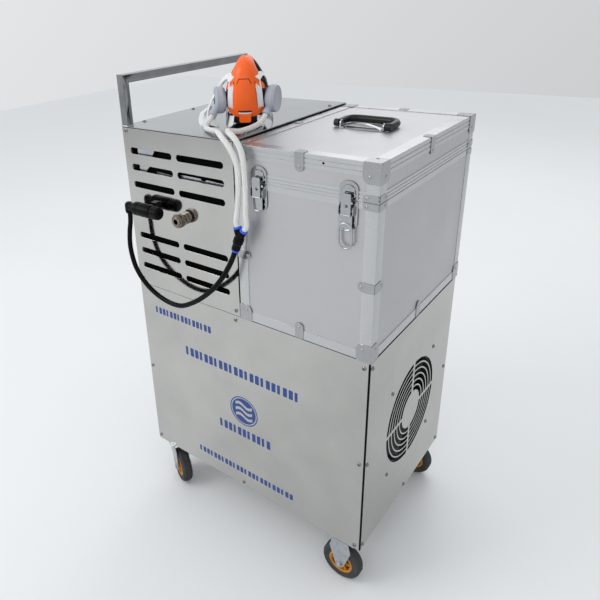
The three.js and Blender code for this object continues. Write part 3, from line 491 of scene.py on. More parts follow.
class Solid:
    """A mesh put together from closed shells, in millimetres of a place inside the cart."""

    def __init__(self, place: Matrix | None = None) -> None:
        """Start an empty solid whose own frame stands at place in the cart."""
        self.place = place or Matrix.Identity(4)
        self.bm = bmesh.new()

    def grid(self, rings: list[list[Vector]], loop: bool = False) -> None:
        """Skin closed rows of points.

        Args:
            rings: Rows with the same number of points.
            loop: Whether the last row joins the first; otherwise both are filled.
        """
        rows = [[self.bm.verts.new(p) for p in ring] for ring in rings]
        pairs = list(zip(rows, rows[1:])) + ([(rows[-1], rows[0])] if loop else [])
        for lower, upper in pairs:
            for i in range(len(lower)):
                j = (i + 1) % len(lower)
                self.bm.faces.new((lower[i], lower[j], upper[j], upper[i]))
        if not loop:
            self.bm.faces.new(rows[0])
            self.bm.faces.new(rows[-1])

    def box(self, low: Point, high: Point, bevel: float = 0.0) -> None:
        """Add a box.

        Args:
            low: Its lowest corner.
            high: Its highest corner.
            bevel: How far its edges are eased.
        """
        made = bmesh.ops.create_cube(self.bm, size=1)["verts"]
        size, middle = Vector(high) - Vector(low), (Vector(high) + Vector(low)) / 2
        for vert in made:
            vert.co = Vector(c * s + m for c, s, m in zip(vert.co, size, middle))
        if bevel:
            edges = list({edge for vert in made for edge in vert.link_edges})
            bmesh.ops.bevel(self.bm, geom=edges, offset=bevel, segments=2, profile=0.5, affect="EDGES")

    def turned(
        self, profile: list[Pair], base: Point, axis: Point, sides: int = 48, loop: bool = False
    ) -> None:
        """Turn a profile of radius and height pairs around an axis.

        Args:
            profile: The outline, from one end to the other; with loop it closes on itself.
            base: The point where the height is 0.
            axis: The direction of the height.
            sides: The number of facets around.
            loop: Whether the profile is a closed ring.
        """
        turn = Z.rotation_difference(Vector(axis).normalized()).to_matrix()
        rings = []
        for radius, height in profile:
            outline = circle(0, 0, max(radius, POINT_RADIUS), sides)
            rings.append([Vector(base) + turn @ Vector((a, b, height)) for a, b in outline])
        self.grid(rings, loop)

    def swept(
        self, line: list[Vector], section: list[Pair], lean: Point = (0, 0, 1), loop: bool = False
    ) -> None:
        """Carry a closed section along a line.

        Args:
            line: The points that it follows.
            section: Its outline, across and up.
            lean: The direction that the section's up starts nearest to.
            loop: Whether the line closes on itself.
        """
        count = len(line)
        up = Vector(lean)
        rings = []
        for i, point in enumerate(line):
            before = line[i - 1] if i or loop else point
            after = line[(i + 1) % count] if i + 1 < count or loop else point
            along = (after - before).normalized()
            up = (up - along * up.dot(along)).normalized()
            side = along.cross(up)
            rings.append([point + side * a + up * b for a, b in section])
        self.grid(rings, loop)

    def fluted(
        self, stations: list[Pair], base: Point, axes: tuple[Vector, Vector, Vector], rib: tuple,
        loop: bool = False,
    ) -> None:
        """Turn a grip whose larger rings are cut by grooves.

        Args:
            stations: How far each ring lies along the axis, and its radius.
            base: The point where the axis starts.
            axes: The axis and the two directions across it.
            rib: The number of points around, the number in a pitch, which of these are cut, how deep,
                and the radius above which a ring is cut.
            loop: Whether the last ring joins the first.
        """
        sides, pitch, cut, depth, least = rib
        along, first, second = axes
        rings = []
        for reach, radius in stations:
            sizes = [radius - (depth if radius > least and i % pitch in cut else 0) for i in range(sides)]
            rings.append([
                Vector(base) + along * reach + first * (r * math.cos(t)) + second * (r * math.sin(t))
                for r, t in zip(sizes, turns(sides))
            ])
        self.grid(rings, loop)

    def plate(
        self, outline: list[Pair], thickness: float, origin: Point, across: Vector = X, up: Vector = Z,
        holes: list[list[Pair]] = (), edge: float = 0.25,
    ) -> None:
        """Add a flat plate with eased edges.

        Args:
            outline: Its closed outline, across and up.
            thickness: How far it reaches along across x up.
            origin: Where its own zero lies.
            across: The direction of the outline's first axis.
            up: The direction of its second axis.
            holes: Closed outlines cut through it.
            edge: How far its edges are eased.
        """
        curve = bpy.data.curves.new("outline", "CURVE")
        curve.dimensions, curve.fill_mode = "2D", "BOTH"
        curve.extrude, curve.bevel_depth = thickness / 2 - edge, edge
        curve.bevel_resolution, curve.offset = 0, -edge
        for points in (outline, *holes):
            spline = curve.splines.new("POLY")
            spline.points.add(len(points) - 1)
            spline.points.foreach_set("co", [c for a, b in points for c in (a, b, 0, 1)])
            spline.use_cyclic_u = True
        holder = bpy.data.objects.new("outline", curve)
        mesh = bpy.data.meshes.new_from_object(holder)
        normal = across.cross(up)
        basis = Matrix((across, up, normal)).transposed().to_4x4()
        mesh.transform(Matrix.Translation(Vector(origin) + normal * thickness / 2) @ basis)
        part = bmesh.new()
        part.from_mesh(mesh)
        bmesh.ops.remove_doubles(part, verts=part.verts, dist=WELD_DISTANCE)
        part.to_mesh(mesh)
        part.free()
        self.bm.from_mesh(mesh)
        bpy.data.objects.remove(holder)
        bpy.data.curves.remove(curve)
        bpy.data.meshes.remove(mesh)

    def ring_around(self, low: Pair, high: Pair, section: list[Pair]) -> None:
        """Run a section around a rectangle, mitred at its corners.

        Args:
            low: The rectangle's lowest corner in X and Y.
            high: Its highest corner.
            section: Closed outline of how far each point stands out from the rectangle, and its Z.
        """
        rings = []
        for right, rear in ((0, 0), (1, 0), (1, 1), (0, 1)):
            ring = []
            for out, z in section:
                x = high[0] + out if right else low[0] - out
                y = high[1] + out if rear else low[1] - out
                ring.append(Vector((x, y, z)))
            rings.append(ring)
        self.grid(rings, loop=True)

    def dome(self, centre: Point, axis: Point, radius: float, height: float, sides: int = 20) -> None:
        """Add a low round head, such as a rivet's, that stands on a face.

        Args:
            centre: The middle of its foot.
            axis: The direction that it faces.
            radius: Its radius.
            height: How far it stands out.
            sides: The number of facets around.
        """
        arcs = [i * math.pi / 10 for i in range(6)]
        profile = [(radius, -0.4), *((radius * math.cos(a), height * math.sin(a)) for a in arcs)]
        self.turned(profile, centre, axis, sides)

    def mesh(self, name: str, smooth_angle: float = 25.0) -> bpy.types.Mesh:
        """Finish the solid.

        Args:
            name: The mesh's name.
            smooth_angle: The angle in degrees above which an edge stays sharp.

        Returns:
            The mesh, in the frame's metres.
        """
        bmesh.ops.recalc_face_normals(self.bm, faces=self.bm.faces)
        self.bm.transform(CART @ self.place)
        made = bpy.data.meshes.new(name)
        self.bm.to_mesh(made)
        self.bm.free()
        made.polygons.foreach_set("use_smooth", [True] * len(made.polygons))
        made.set_sharp_from_angle(angle=math.radians(smooth_angle))
        return made


class Workshop:
    """Fits finished pieces to the frame's bodies."""

    def __init__(self, packed: dict) -> None:
        """Read which body each CAD node belongs to."""
        bodies = packed["record"]["behaviour"]["bodies"]
        self.body_of = {node: body for body, nodes in bodies.items() for node in nodes}
        self.nodes = packed["nodes"]
        self.dressed: set[str] = set()

    def fit(
        self, name: str, solid: Solid, finish: Finish, body: str = "cart", stands_for: tuple[str, ...] = ()
    ) -> bpy.types.Object:
        """Make a solid into a piece.

        Args:
            name: The piece's name.
            solid: Its shape.
            finish: Its material.
            body: The body that it rides on, where it stands for no node.
            stands_for: CAD nodes that it replaces, all of one body.

        Returns:
            The piece's object.
        """
        piece = bpy.data.objects.new(name, solid.mesh(name))
        bpy.context.scene.collection.objects.link(piece)
        return self.dress(piece, finish, self.body_of[stands_for[0]] if stands_for else body, stands_for)

    def dress(
        self, piece: bpy.types.Object, finish: Finish, body: str, stands_for: tuple[str, ...]
    ) -> bpy.types.Object:
        """Give an object its finish and its place in the frame.

        Args:
            piece: The object.
            finish: Its material.
            body: The body that it rides on.
            stands_for: CAD nodes that it replaces.

        Returns:
            The object.
        """
        piece.data.materials.append(finish.material())
        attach(piece, body)
        if stands_for:
            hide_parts(*stands_for)
            self.dressed.update(stands_for)
        log.info("%s: %s on %s", piece.name, finish.name, body)
        return piece

    def finish_nodes(self, finish: Finish, *names: str) -> None:
        """Give CAD nodes that stay as they are their finish.

        Args:
            finish: The material.
            *names: The nodes' names.
        """
        for name in names:
            node = self.nodes[name]
            node.data.materials.clear()
            node.data.materials.append(finish.material())
            self.dressed.add(name)
        log.info("%s: %s", ", ".join(names), finish.name)

    def undressed(self) -> list[str]:
        """Return the CAD nodes that have no finish yet."""
        return sorted(set(self.nodes) - self.dressed)


# ---------------------------------------------------------------- the room
@dataclass
class Studio:
    """A pale floor, soft lamps and the camera.

    Attributes:
        eye: Where the camera stands, in the cart's millimetres.
        view: The way that it looks.
        level: The direction that is up in the picture.
        lens: Its focal length in millimetres.
        film: The width of its film in millimetres.
        shift: How far the picture is shifted, across and up.
        floor_size: How wide the floor is, in metres.
        aim: The point that the lamps face, in the frame's metres.
        lamps: Each lamp's name, its place in metres, its size in metres and its watts.
    """

    eye: Point = (1079.3, -911.7, 1208.7)
    view: Point = (-0.595798, 0.696209, -0.400396)
    level: Point = (-0.217041, 0.340418, 0.914882)
    lens: float = 35.1
    film: float = 36.0
    shift: Pair = (0.125, -0.0833)
    floor_size: float = 14.0
    aim: Point = (0, 0, 0.6)
    lamps: tuple[tuple[str, Point, float, float], ...] = (
        ("key_lamp", (-2.4, -2.8, 3.0), 2.2, 52.0),
        ("fill_lamp", (2.6, -3.0, 2.4), 2.6, 12.0),
        ("rear_lamp", (-0.6, 3.0, 3.2), 2.6, 26.0),
    )

    def place_camera(self) -> None:
        """Stand the camera at the object's front right."""
        data = bpy.data.cameras.new("camera")
        data.lens, data.sensor_width = self.lens, self.film
        data.shift_x, data.shift_y = self.shift
        camera = bpy.data.objects.new("camera", data)
        forward = Vector(self.view).normalized()
        right = forward.cross(Vector(self.level)).normalized()
        turn = Matrix((right, right.cross(forward), -forward)).transposed().to_4x4()
        camera.matrix_world = Matrix.Translation(at(*self.eye)) @ turn
        bpy.context.scene.collection.objects.link(camera)
        bpy.context.scene.camera = camera

    def light(self) -> None:
        """Hang the lamps in a pale room that is brighter above and on the left."""
        world = bpy.data.worlds.new("room")
        world.use_nodes = True
        tree = world.node_tree
        tree.nodes.clear()
        where = add_node(tree, "TexCoord").outputs["Generated"]
        aside = {"operation": "DOT_PRODUCT", 1: (-0.5, -0.35, 0.6)}
        side = add_node(tree, "VectorMath", aside, {0: where}).outputs["Value"]
        values = {"From Min": -0.6, "From Max": 0.6, "To Min": 0.62, "To Max": 0.98}
        strength = add_node(tree, "MapRange", values, {"Value": side}).outputs[0]
        glow = add_node(tree, "Background", {"Color": linear("#F1F3F5")}, {"Strength": strength})
        add_node(tree, "OutputWorld", links={"Surface": glow.outputs[0]})
        bpy.context.scene.world = world
        bpy.context.scene.view_settings.view_transform = "Standard"
        for name, place, size, watts in self.lamps:
            data = bpy.data.lights.new(name, "AREA")
            data.size, data.energy = size, watts
            lamp = bpy.data.objects.new(name, data)
            way = (Vector(self.aim) - Vector(place)).to_track_quat("-Z", "Y")
            lamp.matrix_world = Matrix.Translation(place) @ way.to_matrix().to_4x4()
            bpy.context.scene.collection.objects.link(lamp)

    def lay_floor(self) -> None:
        """Lay a smooth pale floor."""
        half = self.floor_size / 2
        mesh = bpy.data.meshes.new("floor")
        corners = box_outline(-half, half, -half, half)
        mesh.from_pydata([(x, y, 0) for x, y in corners], [], [(0, 1, 2, 3)])
        paint = Finish("floor_paint", "", "#E9EBEC", 0.4, drift=0.01, drift_mm=900, depth_mm=0.01)
        mesh.materials.append(paint.material())
        floor = bpy.data.objects.new("floor", mesh)
        bpy.context.scene.collection.objects.link(floor)

    def build(self) -> None:
        """Set up the room."""
        self.place_camera()
        self.light()
        self.lay_floor()


# ---------------------------------------------------------------- hoses
@dataclass
class Hoses:
    """The supply hose, its Y connector and the two breathing tubes.

    Attributes:
        shop: Where the pieces are fitted.
        radius: The radius of hose and tubes.
        hose_length: The supply hose's length along its centre line; not used.
        tube_lengths: The left and the right breathing tube's lengths.
        gap: How far a hose or tube stops short of a fitting's face.
        y_bottom: Where the hose enters the Y connector.
        y_split: Where the connector branches.
        y_tops: Where the two tubes leave it.
        cap_centres: The middles of the mask's caps.
        spigot_reach: How far a cap's spigot reaches from the cap's middle.
        supply_route: Points along the hose, from the valve to the connector.
        left_route: Points along the left tube, from the connector to the mask.
        right_route: Points along the right tube.
    """

    shop: Workshop
    radius: float = 6.0
    hose_length: float = 567.6
    tube_lengths: Pair = (370.6, 393.9)
    gap: float = 0.3
    y_bottom: Point = (352.4, -29, 706)
    y_split: Point = (366, -28, 741)
    y_tops: tuple[Point, Point] = ((360, -27.5, 762.5), (378, -27.5, 758))
    cap_centres: tuple[Point, Point] = ((207.8, 118.7, 990), (310.2, 181.3, 990))
    spigot_reach: float = 42.3
    supply_route: tuple[Point, ...] = (
        (28, -32, 734.7), (28, -32, 724), (27, -33, 708), (24, -36, 685), (23.5, -40, 642), (39, -43, 592),
        (71, -45, 557), (110.5, -46, 536), (152, -46, 526.5), (189, -46, 529), (224, -45, 546), (258, -43, 570),
        (291, -40, 601), (316, -36, 633), (334, -32, 664),
    )
    left_route: tuple[Point, ...] = (
        (358.5, -24, 792), (361, -22, 822), (363, -22, 852), (363, -22, 880), (358, -23, 906), (345, -23, 927),
        (328, -20, 942), (309, -11, 950), (292, 3, 950), (272, 18, 946), (248, 32, 943), (226, 46, 942),
        (212, 62, 944),
    )
    right_route: tuple[Point, ...] = (
        (380, -23, 788), (379, -20, 818), (378, -18, 848), (377, -18, 878), (375, -18, 904), (369, -18, 926),
        (358, -18, 943), (344, -16, 953), (332, -9, 956), (325, 4, 954), (321, 22, 949), (318, 45, 944),
        (315, 75, 942), (312, 105, 942), (310.5, 128, 945),
    )

    def _round_tube(
        self, name: str, points: list[Vector], finish: Finish, node: str
    ) -> tuple[bpy.types.Object, list[Point]]:
        """Make a round tube along a smooth curve.

        Args:
            name: The piece's name.
            points: Points that its centre line passes through.
            finish: Its material.
            node: The CAD node that it replaces.

        Returns:
            The piece, and its centre line in the frame's metres.
        """
        line = smooth_line(points, 8)
        solid = Solid()
        solid.swept(line, circle(0, 0, self.radius, 20), lean=Y)
        piece = self.shop.fit(name, solid, finish, stands_for=(node,))
        return piece, [tuple(at(*p)) for p in line]

    def connector(self) -> list[bpy.types.Object]:
        """Build the Y connector's black body and its blue collars, and return both."""
        bottom, split = Vector(self.y_bottom), Vector(self.y_split)
        along = (split - bottom).normalized()
        body, collars = Solid(), Solid()
        body.turned([(0, 5), (9.6, 5), (9.6, 19), (11.4, 22), (11.4, 33), (6, 38), (0, 38)], bottom, along)
        ring = [(6.2, 0), (8, 0), (8.9, 0.8), (8.9, 3.8), (7.6, 4.8), (6.2, 4.8)]
        collars.turned(ring, bottom, along, loop=True)
        for top in map(Vector, self.y_tops):
            branch = top - split
            way, reach = branch.normalized(), branch.length
            barrel = [(0, -9), (8.2, -7), (9.2, -2), (9.2, reach - 5.4), (8.2, reach - 4.4), (0, reach - 4.4)]
            body.turned(barrel, split, way)
            collars.turned(ring, top, -way, loop=True)
        return [
            self.shop.fit("y_connector_body", body, BLACK_ABS, stands_for=("y_connector",)),
            self.shop.fit("y_connector_collars", collars, COLLAR_BLUE),
        ]

    def build(self) -> None:
        """Build the hoses."""
        bottom, split = Vector(self.y_bottom), Vector(self.y_split)
        arrival = (split - bottom).normalized()
        end = bottom - arrival * self.gap
        points = [*map(Vector, self.supply_route), end - arrival * 16, end]
        hose, path = self._round_tube("air_hose", points, HOSE, "supply_hose")
        self.connector()
        into = Vector((0, -1, -1)).normalized()
        routes = (self.left_route, self.right_route)
        for side, top, route, centre, length in zip(
            ("left", "right"), self.y_tops, routes, self.cap_centres, self.tube_lengths
        ):
            way = (Vector(top) - split).normalized()
            start = Vector(top) + way * self.gap
            stop = Vector(centre) + into * self.spigot_reach
            points = [start, start + way * 10, *map(Vector, route), stop + into * 9, stop]
            name = f"breathing_tube_{side}"
            tube, path = self._round_tube(f"{name}_clear", points, CLEAR_TUBE, name)


# ---------------------------------------------------------------- casters
@dataclass
class Casters:
    """Two swivelling casters on the left and two fixed ones on the right.

    Attributes:
        shop: Where the pieces are fitted.
        wheel_radius: The tyre's radius.
        tyre_half: Half the tyre's width.
        rim_radius: The hub's radius.
        axle_drop: How far the axle hangs below the cabinet.
        trail: How far a swivelling caster's axle lies behind its pivot.
        leg_inside: How far a fork leg's inner face stands from the middle.
        leg_thickness: The fork's sheet.
        spokes: How many ribs the hub has.
        places: Each caster's name, X, Y, turn in degrees and whether it swivels.
    """

    shop: Workshop
    wheel_radius: float = 50.0
    tyre_half: float = 14.5
    rim_radius: float = 31.0
    axle_drop: float = 83.0
    trail: float = 30.0
    leg_inside: float = 17.0
    leg_thickness: float = 2.5
    spokes: int = 6
    places: tuple[tuple[str, float, float, float, bool], ...] = (
        ("front_left", 41.5, 33.0, -27.0, True), ("rear_left", 41.5, 441.0, 40.0, True),
        ("front_right", 608.0, 21.0, 0.0, False), ("rear_right", 608.0, 453.0, 0.0, False),
    )

    def _wheel(self, place: Matrix, name: str, axle: Point) -> None:
        """Build a tyre with a grooved tread, and a spoked hub.

        Args:
            place: Where the caster's own frame stands.
            name: The caster's name.
            axle: The wheel's middle in that frame.
        """
        node = f"caster_{name}"
        half, outer, rim = self.tyre_half, self.wheel_radius, self.rim_radius + 0.3
        profile = [(rim, -half + 2), (rim + 5, -half + 0.5), (outer - 6, -half), (outer - 2, -half + 3)]
        profile += [(outer, -half + 7), (outer, -5), (outer - 1, -4.4), (outer, -3.8)]
        profile += [(radius, -height) for radius, height in reversed(profile)]
        tyre = Solid(place)
        tyre.turned(profile, axle, Y, 72, loop=True)
        self.shop.fit(f"{node}_tread", tyre, TYRE, stands_for=(f"{node}_tyre",))
        hub = Solid(place)
        rim_ring = [(25, -12), (28, -half + 1), (31, -half + 2), (31, half - 2), (28, half - 1), (25, 12)]
        hub.turned(rim_ring, axle, Y, 56, loop=True)
        boss = [(4.4, -15.5), (9, -15.5), (12, -13), (13, -4), (13, 4), (12, 13), (9, 15.5), (4.4, 15.5)]
        hub.turned(boss, axle, Y, 32, loop=True)
        hub.turned([(12, -1.5), (26, -1.5), (26, 1.5), (12, 1.5)], axle, Y, 40, loop=True)
        for i in range(self.spokes):
            turn = Matrix.Rotation(2 * math.pi * i / self.spokes, 3, "Y")
            rib = box_outline(11.5, 26.5, -3, 3, 1)
            hub.plate(rib, 21, Vector(axle) + turn @ Vector((0, 10.5, 0)), turn @ X, turn @ Z, edge=0.8)
        self.shop.fit(f"{node}_spoked_hub", hub, AMBER, stands_for=(f"{node}_hub",))

    def _fork(self, place: Matrix, name: str, swivels: bool) -> None:
        """Build a pressed fork with its axle bolt, and for a swivelling caster its bearing crown.

        Args:
            place: Where the caster's own frame stands.
            name: The caster's name.
            swivels: Whether it has a top plate of its own to turn under.
        """
        node = f"caster_{name}"
        trail = self.trail if swivels else 0.0
        lean, top = trail * 0.3, -13.3 if swivels else -3.3
        side, inside = self.leg_inside + self.leg_thickness, self.leg_inside
        leg = rounded([
            (-20, top, 2), (lean - 28, -35, 8), (trail - 12, -self.axle_drop, 11), (trail - 5, -95, 6),
            (trail + 5, -95, 6), (trail + 12, -self.axle_drop, 11), (lean + 28, -35, 8), (20, top, 2),
        ], 4)
        fork = Solid(place)
        for face in (side, -inside):
            fork.plate(leg, self.leg_thickness, (0, face, 0), edge=0.6)
        axle = (trail, 0, -self.axle_drop)
        fork.turned([(0, -side - 2), (4, -side - 2), (4, side + 2), (0, side + 2)], axle, Y, 20)
        for sign in (-1, 1):
            face = (trail, sign * side, -self.axle_drop)
            fork.turned([(0, 0), (9.5, 0), (9.5, 1.2), (0, 1.2)], face, sign * Y, 28)
            nut = [(0, 1), (7, 1), (7, 4.6), (5.8, 5.4), (0, 5.4)]
            fork.turned(nut, face, sign * Y, 6)
        if swivels:
            fork.turned([(0, -14.6), (22, -14.6), (25, -13), (25, -10.4), (0, -10.4)], (0, 0, 0), Z, 40)
            fork.box((-20, -side, -14.4), (20, side, -11.6), 0.8)
            plate = Solid(place)
            plate.plate(box_outline(-36, 36, -31, 31, 6), 2.8, (0, 0, -3.2), X, Y, edge=0.5)
            race = [(0, -9.9), (20, -9.9), (23, -8), (23, -5), (20, -3), (0, -3)]
            plate.turned(race, (0, 0, 0), Z, 40)
            self._bolts(plate, 28, 22)
            self.shop.fit(f"{node}_top_plate", plate, ZINC, stands_for=(f"{node}_plate",))
        else:
            fork.plate(box_outline(-39, 39, -20.5, 20.5, 5), 2.8, (0, 0, -3.2), X, Y, edge=0.5)
            fork.box((-20, -side, -6), (20, side, -3.3), 0.8)
            self._bolts(fork, 32, 14)
        self.shop.fit(f"{node}_legs", fork, ZINC, stands_for=(f"{node}_fork",))

    def _bolts(self, solid: Solid, across: float, along: float) -> None:
        """Hang four hexagon bolt heads under a top plate.

        Args:
            solid: The solid that gets them.
            across: How far they stand from the middle in X.
            along: How far in Y.
        """
        for x in (-across, across):
            for y in (-along, along):
                solid.turned([(0, 3), (5, 3), (5, 6), (4.2, 6.8), (0, 6.8)], (x, y, 0), -Z, 6)

    def build(self) -> None:
        """Build the four casters."""
        for name, x, y, turn, swivels in self.places:
            place = Matrix.Translation((x, y, 0)) @ Matrix.Rotation(math.radians(turn), 4, "Z")
            axle = (self.trail if swivels else 0.0, 0.0, -self.axle_drop)
            self._wheel(place, name, axle)
            self._fork(place, name, swivels)


# ---------------------------------------------------------------- cabinet and tower
@dataclass
class Cabinet:
    """The steel cabinet, the louvred tower and the push handle.

    Attributes:
        shop: Where the pieces are fitted.
        width: The cabinet's width.
        depth: Its depth, which is the tower's too.
        sheet: The thickness of its sheets.
        deck_top: The height of the deck.
        front_top: The height where the front and right sheets end.
        tower_width: The tower's width.
        tower_top: The tower's height.
        handle_top: The push handle's height.
        post: The handle's square section.
        fan: The middle of the fan grille in Y and Z.
        open_radius: The grille's radius.
        disc_radius: The radius of the plain disc in it.
        rings: How many ring-shaped bars it has.
        ring_bar: Their width.
        spoke: The width of its four spokes.
        louvre_rows: The heights of the slots.
        louvre_columns: Where each column of slots starts and ends.
        louvre_height: How tall a slot is.
        screw_radius: The radius of a screw's head.
        print_rows: The height, start, end, pitch and size of each row of printed dashes.
        roundel: The middle of the printed roundel.
        roundel_radius: Its radius.
        ink: How thick the print lies.
    """

    shop: Workshop
    width: float = 660.0
    depth: float = 474.0
    sheet: float = 1.5
    deck_top: float = 525.0
    front_top: float = 523.2
    tower_width: float = 335.0
    tower_top: float = 935.5
    handle_top: float = 1052.6
    post: float = 20.0
    fan: Pair = (245.0, 252.0)
    open_radius: float = 135.0
    disc_radius: float = 50.0
    rings: int = 5
    ring_bar: float = 3.8
    spoke: float = 9.0
    louvre_rows: tuple[float, ...] = (879, 839, 796, 663, 621, 579)
    louvre_columns: tuple[Pair, Pair] = ((20, 156), (170, 307))
    louvre_height: float = 15.5
    screw_radius: float = 5.2
    print_rows: tuple[tuple[float, ...], ...] = (
        (454, 47, 252, 13, 19), (363, 146, 510, 16, 25), (180, 249, 414, 15, 25), (50, 167, 491, 13, 18),
    )
    roundel: Pair = (331.0, 250.0)
    roundel_radius: float = 43.0
    ink: float = 0.1

    def _screws(self, name: str, spots: list[Point], normal: Vector) -> None:
        """Build a row of pan-head screws, each with a dark cross of painted shade for its cross recess.

        Args:
            name: The sheet that they hold.
            spots: Where each stands.
            normal: The direction that they face.
        """
        heads, recess_shade = Solid(), Solid()
        side = normal.orthogonal().normalized()
        across = side.cross(normal).normalized()
        rise = normal.cross(across)
        r = self.screw_radius
        profile = [(0, -0.2), (r, -0.2), (r, 0.9), (r * 0.75, 2.0), (r * 0.4, 2.5), (0, 2.6)]
        for spot in spots:
            heads.turned(profile, spot, normal, 20)
            # The dark cross is painted shade, where the cross recess would be dark.
            for wide, tall in ((2.6, 0.6), (0.6, 2.6)):
                slot = box_outline(-wide, wide, -tall, tall)
                recess_shade.plate(slot, 0.25, Vector(spot) + normal * 2.45, across, rise, edge=0.02)
        self.shop.fit(f"{name}_screws", heads, SCREW)
        self.shop.fit(f"{name}_screw_recess_painted_shade", recess_shade, FOAM_AND_PAINTED_SHADE)

    def screws(self) -> None:
        """Put the screws that hold each sheet."""
        y, z = self.fan
        front = [(648, 507), (648, 257), (646, 10), (8, 261), (9, 14), (320, 11), (320, 511)]
        front += [(12, 925), (323, 925), (323, 537), (12, 537)]
        right = [(14, 504), (14, 252), (14, 10), (243, 10), (460, 255), (460, 10)]
        right += [(y + dy, z + dz) for dy in (-118, 118) for dz in (-118, 118)]
        left = [(side, height) for side in (14, 460) for height in (12, 260, 510, 720, 925)]
        rear = [(side, height) for side in (14, 646) for height in (12, 260, 510)]
        rear += [(14, 925), (321, 925), (330, 12)]
        top = [(14, 237), (14, 60), (14, 414), (321, 60), (321, 414)]
        self._screws("front", [(a, 0, b) for a, b in front], -Y)
        self._screws("right", [(self.width, a, b) for a, b in right], X)
        self._screws("left", [(0, a, b) for a, b in left], -X)
        self._screws("rear", [(a, self.depth, b) for a, b in rear], Y)
        self._screws("top", [(a, b, self.tower_top) for a, b in top], Z)

    def grille(self) -> None:
        """Cut the fan grille: ring-shaped gaps around a plain disc, crossed by four spokes."""
        gap = (self.open_radius - self.disc_radius - self.rings * self.ring_bar) / (self.rings + 1)
        holes = []
        for ring in range(self.rings + 1):
            inner = self.disc_radius + ring * (gap + self.ring_bar)
            holes += [self._sector(inner, inner + gap, quarter) for quarter in range(4)]
        panel = Solid()
        outline = box_outline(1.8, self.depth - 1.8, 0, self.front_top)
        panel.plate(outline, self.sheet, (self.width - self.sheet, 0, 0), Y, Z, holes, edge=0.2)
        self.shop.fit("grille_sheet", panel, STAINLESS, stands_for=("grille_panel",))

    def _sector(self, inner: float, outer: float, quarter: int) -> list[Pair]:
        """Outline a quarter of a ring-shaped gap, kept clear of the spokes.

        Args:
            inner: The gap's inner radius.
            outer: Its outer radius.
            quarter: Which quarter, counted from 0.

        Returns:
            The outline.
        """
        y, z = self.fan
        points = []
        for radius, order in ((inner, 1), (outer, -1)):
            margin = math.asin(self.spoke / 2 / radius)
            for i in range(15)[::order]:
                turn = margin + (math.pi / 2 - 2 * margin) * i / 14 + quarter * math.pi / 2
                points.append((y + radius * math.cos(turn), z + radius * math.sin(turn)))
        return points

    def louvres(self) -> None:
        """Cut the tower's front sheet: two columns of round-ended slots and two fitting holes."""
        radius = self.louvre_height / 2
        holes = [
            box_outline(x0, x1, row - radius, row + radius, radius - 0.01)
            for row in self.louvre_rows
            for x0, x1 in self.louvre_columns
        ]
        holes += [circle(183, 738, 10.8, 24), circle(87, 748, 10.8, 24)]
        top = self.tower_top - self.sheet - 0.3
        outline = box_outline(0, self.tower_width, self.front_top + 0.3, top)
        panel = Solid()
        panel.plate(outline, self.sheet, (0, self.sheet, 0), X, Z, holes, edge=0.2)
        self.shop.fit("louvre_sheet", panel, STAINLESS, stands_for=("louvre_panel",))
        rails = Solid()
        for back, rail in (
            (8, [(38, 866), (84, 866), (99, 892), (38, 892)]),
            (9, [(38, 826), (54, 826), (82, 852), (38, 852)]),
            (9, [(172, 822), (306, 822), (306, 835), (250, 837), (246, 833), (236, 833), (232, 838),
                 (172, 838)]),
            (9, [(96, 822), (146, 822), (146, 832), (112, 834), (96, 834)]),
        ):
            rails.plate(rail, 1.2, (0, back, 0))
        self.shop.fit("tower_inner_rails", rails, ZINC)
        foam = Solid()
        for start, end in ((23, 162), (164, 310)):
            foam.box((start, 16, 545), (end, 22, 915), 2)
        self.shop.fit("tower_sound_foam", foam, FOAM_AND_PAINTED_SHADE)

    def handle(self) -> None:
        """Weld up the push handle from square tube, mitred at its corners."""
        side, depth, foot = self.post, self.depth, self.tower_top + 0.2
        section = box_outline(-side / 2, side / 2, -side / 2, side / 2, 2.2)
        centre, top = side / 2, self.handle_top - side / 2
        front = [(centre + a, centre + b, top - b) for a, b in section]
        rear = [(x, depth - y, z) for x, y, z in front]
        tube = Solid()
        tube.grid([
            [Vector((x, y, foot)) for x, y, z in front], [Vector(p) for p in front],
            [Vector(p) for p in rear], [Vector((x, y, foot)) for x, y, z in rear],
        ])
        # The tube's colour is darkened as painted reflection.
        self.shop.fit("push_handle_tube", tube, STAINLESS_TUBE_PAINTED_DARK, stands_for=("push_handle",))
        beads = Solid()
        for y in (centre, depth - centre):
            ring = [Vector((centre + a * 1.06, y + b * 1.06, foot + 0.4)) for a, b in section]
            beads.swept(ring, circle(0, 0, 1.3, 8), loop=True)
        self.shop.fit("push_handle_welds", beads, ZINC)

    def seams(self) -> None:
        """Paint the shade in the gaps as dark strips: at the cabinet's front corners, under the case and beside
        the tower.
        """
        wide, deep, tower = self.width, self.depth, self.tower_width
        step, deck, top = self.front_top, self.deck_top, self.tower_top
        # Each strip is painted shade, standing for the dark inside a gap between sheets.
        seams = Solid()
        for low, high, bevel in (
            ((wide - 2.4, -0.1, 1), (wide + 0.25, 5.4, step - 1), 0.1),
            ((-0.25, 0.2, 1), (1.4, 3.2, top - 3), 0.1),
            ((tower + 0.2, 1.2, deck + 0.6), (tower + 2.4, deep - 4, top - 3), 0.1),
            ((3, -0.12, step - 0.4), (tower - 1, 0.4, step + 0.5), 0.05),
            ((1, -0.15, top - 3), (tower - 1, 0.4, top - 1.7), 0.05),
            ((tower + 1, -0.5, step - 0.2), (wide - 1, 0.4, deck + 0.2), 0.1),
            ((wide - 0.4, 1, step - 3.6), (wide + 0.8, deep - 4, deck + 0.2), 0.1),
            ((tower - 0.9, -0.4, step), (tower + 1.4, 2, top - 2), 0.1),
        ):
            seams.box(low, high, bevel)
        self.shop.fit("cabinet_seam_painted_shade", seams, FOAM_AND_PAINTED_SHADE)

